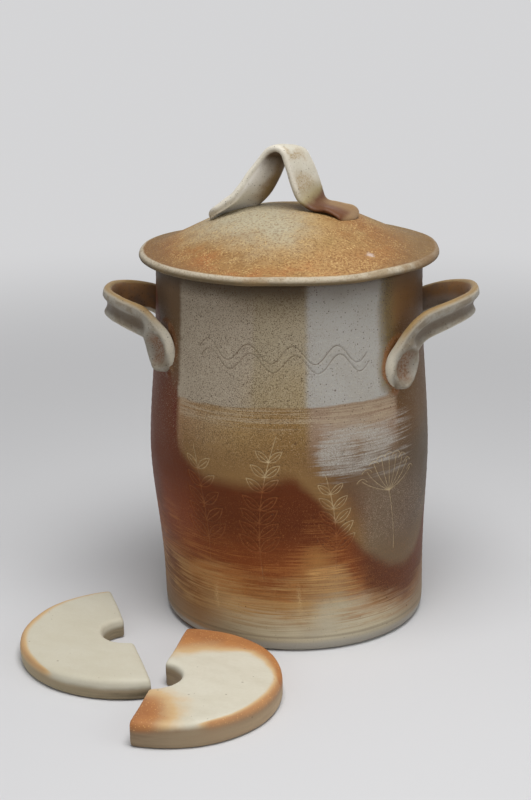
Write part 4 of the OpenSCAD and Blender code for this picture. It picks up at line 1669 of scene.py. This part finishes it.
# %% Flashes along an edge and round a corner
def arc_edge(centre_x, centre_y, radius, wide, toward, sharp=0.0):
    """A flash inside a round edge, in mm, widest at one bearing in degrees."""
    def mask(tree, place, mottle):
        away = near(tree, place, centre_x, centre_y)
        inwards = calc(tree, "SUBTRACT", radius, away)
        axis = add(tree, "SeparateXYZ", None, Vector=place).outputs
        a = math.radians(toward)
        dx = calc(tree, "MULTIPLY_ADD", axis["X"], IN_MM, -centre_x)
        dy = calc(tree, "MULTIPLY_ADD", axis["Y"], IN_MM, -centre_y)
        facing = calc(tree, "DIVIDE", calc(
            tree, "ADD", calc(tree, "MULTIPLY", dx, math.cos(a)),
            calc(tree, "MULTIPLY", dy, math.sin(a))), away)
        share = rise(tree, facing, sharp, 1.0, False)
        reach = calc(tree, "MULTIPLY_ADD", share, wide, 0.5)
        noisy = strayed(tree, inwards, times(tree, share, wide * 0.6), mottle)
        part = calc(tree, "DIVIDE", noisy, reach)
        return times(tree, rise(tree, part, 1.2, 0.15), rise(tree, share, 0.0, 0.2))
    return mask


def corner(x, y, reach):
    """A flash round a corner, reaching that many mm."""
    def mask(tree, place, mottle):
        away = near(tree, place, x, y)
        noisy = strayed(tree, away, 24.0, mottle)
        return rise(tree, noisy, reach, reach * 0.3)
    return mask


# %% [markdown]
# The slip lies smooth on top and was wiped off the sides, which fired a sandy
# grey. The sides change tone from one end to the other: on the left weight the
# dark right end is a painted shade, and the right weight's sides only grow
# darker towards its left end.

# %% The cream slip
def slip_colour(tree, place, node, mottle, tone, end_tones_and_shade, cream, over):
    """The colour of the slip, then the mask and the colour of the sides."""
    low_end, high_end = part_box(node)
    turn = high_end.z - over
    turned = add(tree, "VectorRotate", None, Vector=place, Angle=0.5).outputs[0]
    smooth = cloud(tree, stretch(tree, turned, (22, 48, 30)), 1.0, 4.0, 0.62)
    axis = add(tree, "SeparateXYZ", None, Vector=place).outputs
    colour = paint(tree, times(tree, rise(tree, smooth, 0.6, 0.3), 0.35), cream,
                   tint(192, 184, 162))
    colour = paint(tree, times(tree, tone, 0.2), colour, tint(186, 176, 150))
    low = rise(tree, calc(tree, "MULTIPLY_ADD", mottle, 3 * MM, axis["Z"]),
               turn, turn - 5 * MM)
    wiped = cloud(tree, stretch(tree, place, (26, 26, 300)), 1.0, 4.0, 0.6)
    # The sides blend from the left end's tone to the right end's; the left weight's dark
    # right end is a painted shade.
    side_tone = paint(tree, rise(tree, axis["X"], low_end.x, high_end.x, False),
                      *end_tones_and_shade)
    side = paint(tree, times(tree, rise(tree, wiped, 0.3, 0.7), 0.7), side_tone,
                 tint(162, 144, 116))
    return paint(tree, low, colour, side), low, side


# %% [markdown]
# A flash is ringed by a pale halo, is deepest near the top, and carries a few
# crumbs of ash. Where flashes meet, the stronger one shows.

# %% Flashes over the slip
def weight_glaze(name, node, flashes, end_tones_and_shade, cream, over=0.0):
    """Cream slip with flashes, a list of (mask maker, strength). The side
    tones are those of the left and the right end, and the cream runs over
    the edge and that far down. On the left weight the dark right end of the
    sides is a painted shade."""
    material, tree, place = new_material(name)
    grained = use(tree, grain, Place=place, Scale=420.0)
    mottle = cloud(tree, place, 34.0, 4.0, 0.6)
    colour, low, side = slip_colour(tree, place, node, mottle, grained["Tone"],
                                    end_tones_and_shade, cream, over)
    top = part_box(node)[1].z
    z = add(tree, "SeparateXYZ", None, Vector=place).outputs["Z"]
    lit = calc(tree, "MULTIPLY_ADD", rise(tree, z, top - 12 * MM, top - 2 * MM), 0.8, 0.2)
    burn = 0.0
    for mask, strength in flashes:
        burn = calc(tree, "MAXIMUM", burn, times(tree, mask(tree, place, mottle), strength))
    burn = times(tree, burn, lit)
    halo = rise(tree, burn, 0.0, 0.45)
    colour = paint(tree, times(tree, halo, 0.78), colour,
                   paint(tree, low, tint(206, 168, 112),
                         paint(tree, 0.5, side, tint(146, 112, 80))))
    colour = paint(tree, times(tree, rise(tree, burn, 0.3, 0.95), 0.92), colour,
                   paint(tree, rise(tree, mottle, 0.35, 0.65), tint(180, 120, 68),
                         tint(158, 98, 54)))
    crumbs = use(tree, specks, Place=place, Scale=700.0, Amount=0.45, Size=0.42)["Mask"]
    colour = paint(tree, times(tree, crumbs, rise(tree, burn, 0.3, 0.8), 0.5), colour,
                   tint(222, 176, 116))
    dots = use(tree, specks, Place=place, Scale=260.0, Amount=0.06, Size=0.25)["Mask"]
    colour = paint(tree, times(tree, dots, 0.5), colour, tint(120, 100, 74))
    rough = calc(tree, "MULTIPLY_ADD", grained["Tone"], 0.15, 0.5)
    glaze_shader(tree, colour, rough, grained["Height"], 0.16 * MM)
    return material


# %% [markdown]
# On the left weight the cream runs over the softer edge and a little way down.
# The flashes are placed by each weight's own centre and radius.

# %% Glaze the weights
left_round = (-126, -105, 87)
right_round = (-86.5, -183, 81.5)
# The left weight's sides end in a painted shade at their right end.
left_slab.data.materials.append(weight_glaze(
    "left_weight_slip", "left_weight", [(arc_edge(*left_round, 8, 146), 0.6)],
    (tint(182, 170, 140), tint(82, 70, 50)), tint(203, 198, 180), 3 * MM))
right_slab.data.materials.append(weight_glaze(
    "right_weight_slip", "right_weight",
    [(arc_edge(*right_round, 62, 98, 0.12), 1.0), (arc_edge(*right_round, 24, 70), 0.95),
     (arc_edge(*right_round, 7, 12), 0.75), (corner(-118, -246, 56), 1.0)],
    (tint(128, 110, 88), tint(186, 162, 130)), tint(214, 209, 192)))
for slab in (left_slab, right_slab):
    print(slab.name, "has", len(slab.data.materials[0].node_tree.nodes), "nodes")

# %% [markdown]
# ## The studio
# A pale floor runs out to a pale surround. Near the crock it is matt and takes
# the shadows; further out it turns into an even tone, so no horizon shows.

# %% The floor
pale = (0.66, 0.66, 0.67, 1)
floor_r = 24


def seen_ray(tree):
    """1 for what the camera sees, straight, in gloss or through glass."""
    ray = add(tree, "LightPath").outputs
    return calc(tree, "MAXIMUM", calc(tree, "MAXIMUM", ray["Is Camera Ray"],
                                      ray["Is Glossy Ray"]), ray["Is Transmission Ray"])


def studio_floor():
    """A wide round floor, matt near the crock and even further out."""
    bm = bmesh.new()
    bmesh.ops.create_circle(bm, cap_ends=True, segments=96, radius=floor_r)
    mesh = bpy.data.meshes.new("studio_floor")
    bm.to_mesh(mesh)
    bm.free()
    floor = bpy.data.objects.new("studio_floor", mesh)
    bpy.context.scene.collection.objects.link(floor)
    material, tree, place = new_material("floor_paper")
    far = rise(tree, radius_of(tree, place), 0.45, 1.6)
    matt = add(tree, "BsdfDiffuse", None, Color=pale)
    even = add(tree, "Emission", None, Color=pale, Strength=1.0)
    both = add(tree, "MixShader", None, Fac=times(tree, far, seen_ray(tree)))
    tree.links.new(matt.outputs[0], both.inputs[1])
    tree.links.new(even.outputs[0], both.inputs[2])
    end = add(tree, "OutputMaterial")
    tree.links.new(both.outputs[0], end.inputs["Surface"])
    floor.data.materials.append(material)
    return floor


paper = studio_floor()
print(paper.name, "has", len(paper.data.vertices), "corners")

# %% [markdown]
# A large soft lamp hangs overhead, two weak ones stand at the side and in
# front, and the even light of the world fills the shadows. What the camera
# sees of the world is a little brighter than the light that it gives.

# %% Lamps and air
def soft_lamp(name, place, target, size, watts):
    """A square area lamp at a place, turned to a target."""
    data = bpy.data.lights.new(name, "AREA")
    data.size, data.energy = size, watts
    lamp = bpy.data.objects.new(name, data)
    lamp.location = place
    aim = Vector(target) - Vector(place)
    lamp.rotation_euler = aim.to_track_quat("-Z", "Y").to_euler()
    bpy.context.scene.collection.objects.link(lamp)


soft_lamp("overhead_softbox", (0.1, -0.45, 1.6), (0, 0, 0.2), 0.9, 21)
soft_lamp("side_softbox", (1.4, -0.8, 0.8), (0, 0, 0.2), 1.0, 4)
soft_lamp("front_fill", (-0.9, -1.6, 0.9), (0, 0, 0.15), 1.2, 3)
world = bpy.data.worlds.new("studio_air")
bpy.context.scene.world = world
world.use_nodes = True
sky = world.node_tree
air = sky.nodes["Background"].inputs
air["Color"].default_value = (1.0, 1.0, 1.0, 1)
fill, shown_more = 0.27, 0.40
feed(sky, air["Strength"], calc(sky, "MULTIPLY_ADD", seen_ray(sky), shown_more, fill))
print("lamps:", [lamp.name for lamp in bpy.data.lights])

# %% [markdown]
# The camera looks down on the crock a little from the front, with a long lens
# that keeps the wall's sides nearly upright. Its axes are worked out from the
# angles by which it looks down, to the side and tilts, in radians.

# %% The camera
camera_at = (0, -1.26674, 0.55980)
pitch, yaw, roll = 0.2937, -0.0154, 0.006
ahead = Vector((math.sin(yaw) * math.cos(pitch), math.cos(yaw) * math.cos(pitch),
                -math.sin(pitch)))
right = Vector((math.cos(yaw), -math.sin(yaw), 0))
down = ahead.cross(right)
cam_x = math.cos(roll) * right + math.sin(roll) * down
cam_y = -(math.cos(roll) * down - math.sin(roll) * right)
camera = bpy.data.objects.new("studio_camera", bpy.data.cameras.new("studio_camera"))
camera.data.sensor_width, camera.data.lens = 36, 72
camera.matrix_world = Matrix.Translation(camera_at) @ Matrix(
    (cam_x, cam_y, -ahead)).transposed().to_4x4()
bpy.context.scene.collection.objects.link(camera)
bpy.context.scene.camera = camera
bpy.context.scene.view_settings.view_transform = "Standard"
print(f"the camera looks down {math.degrees(pitch):.1f} degrees")
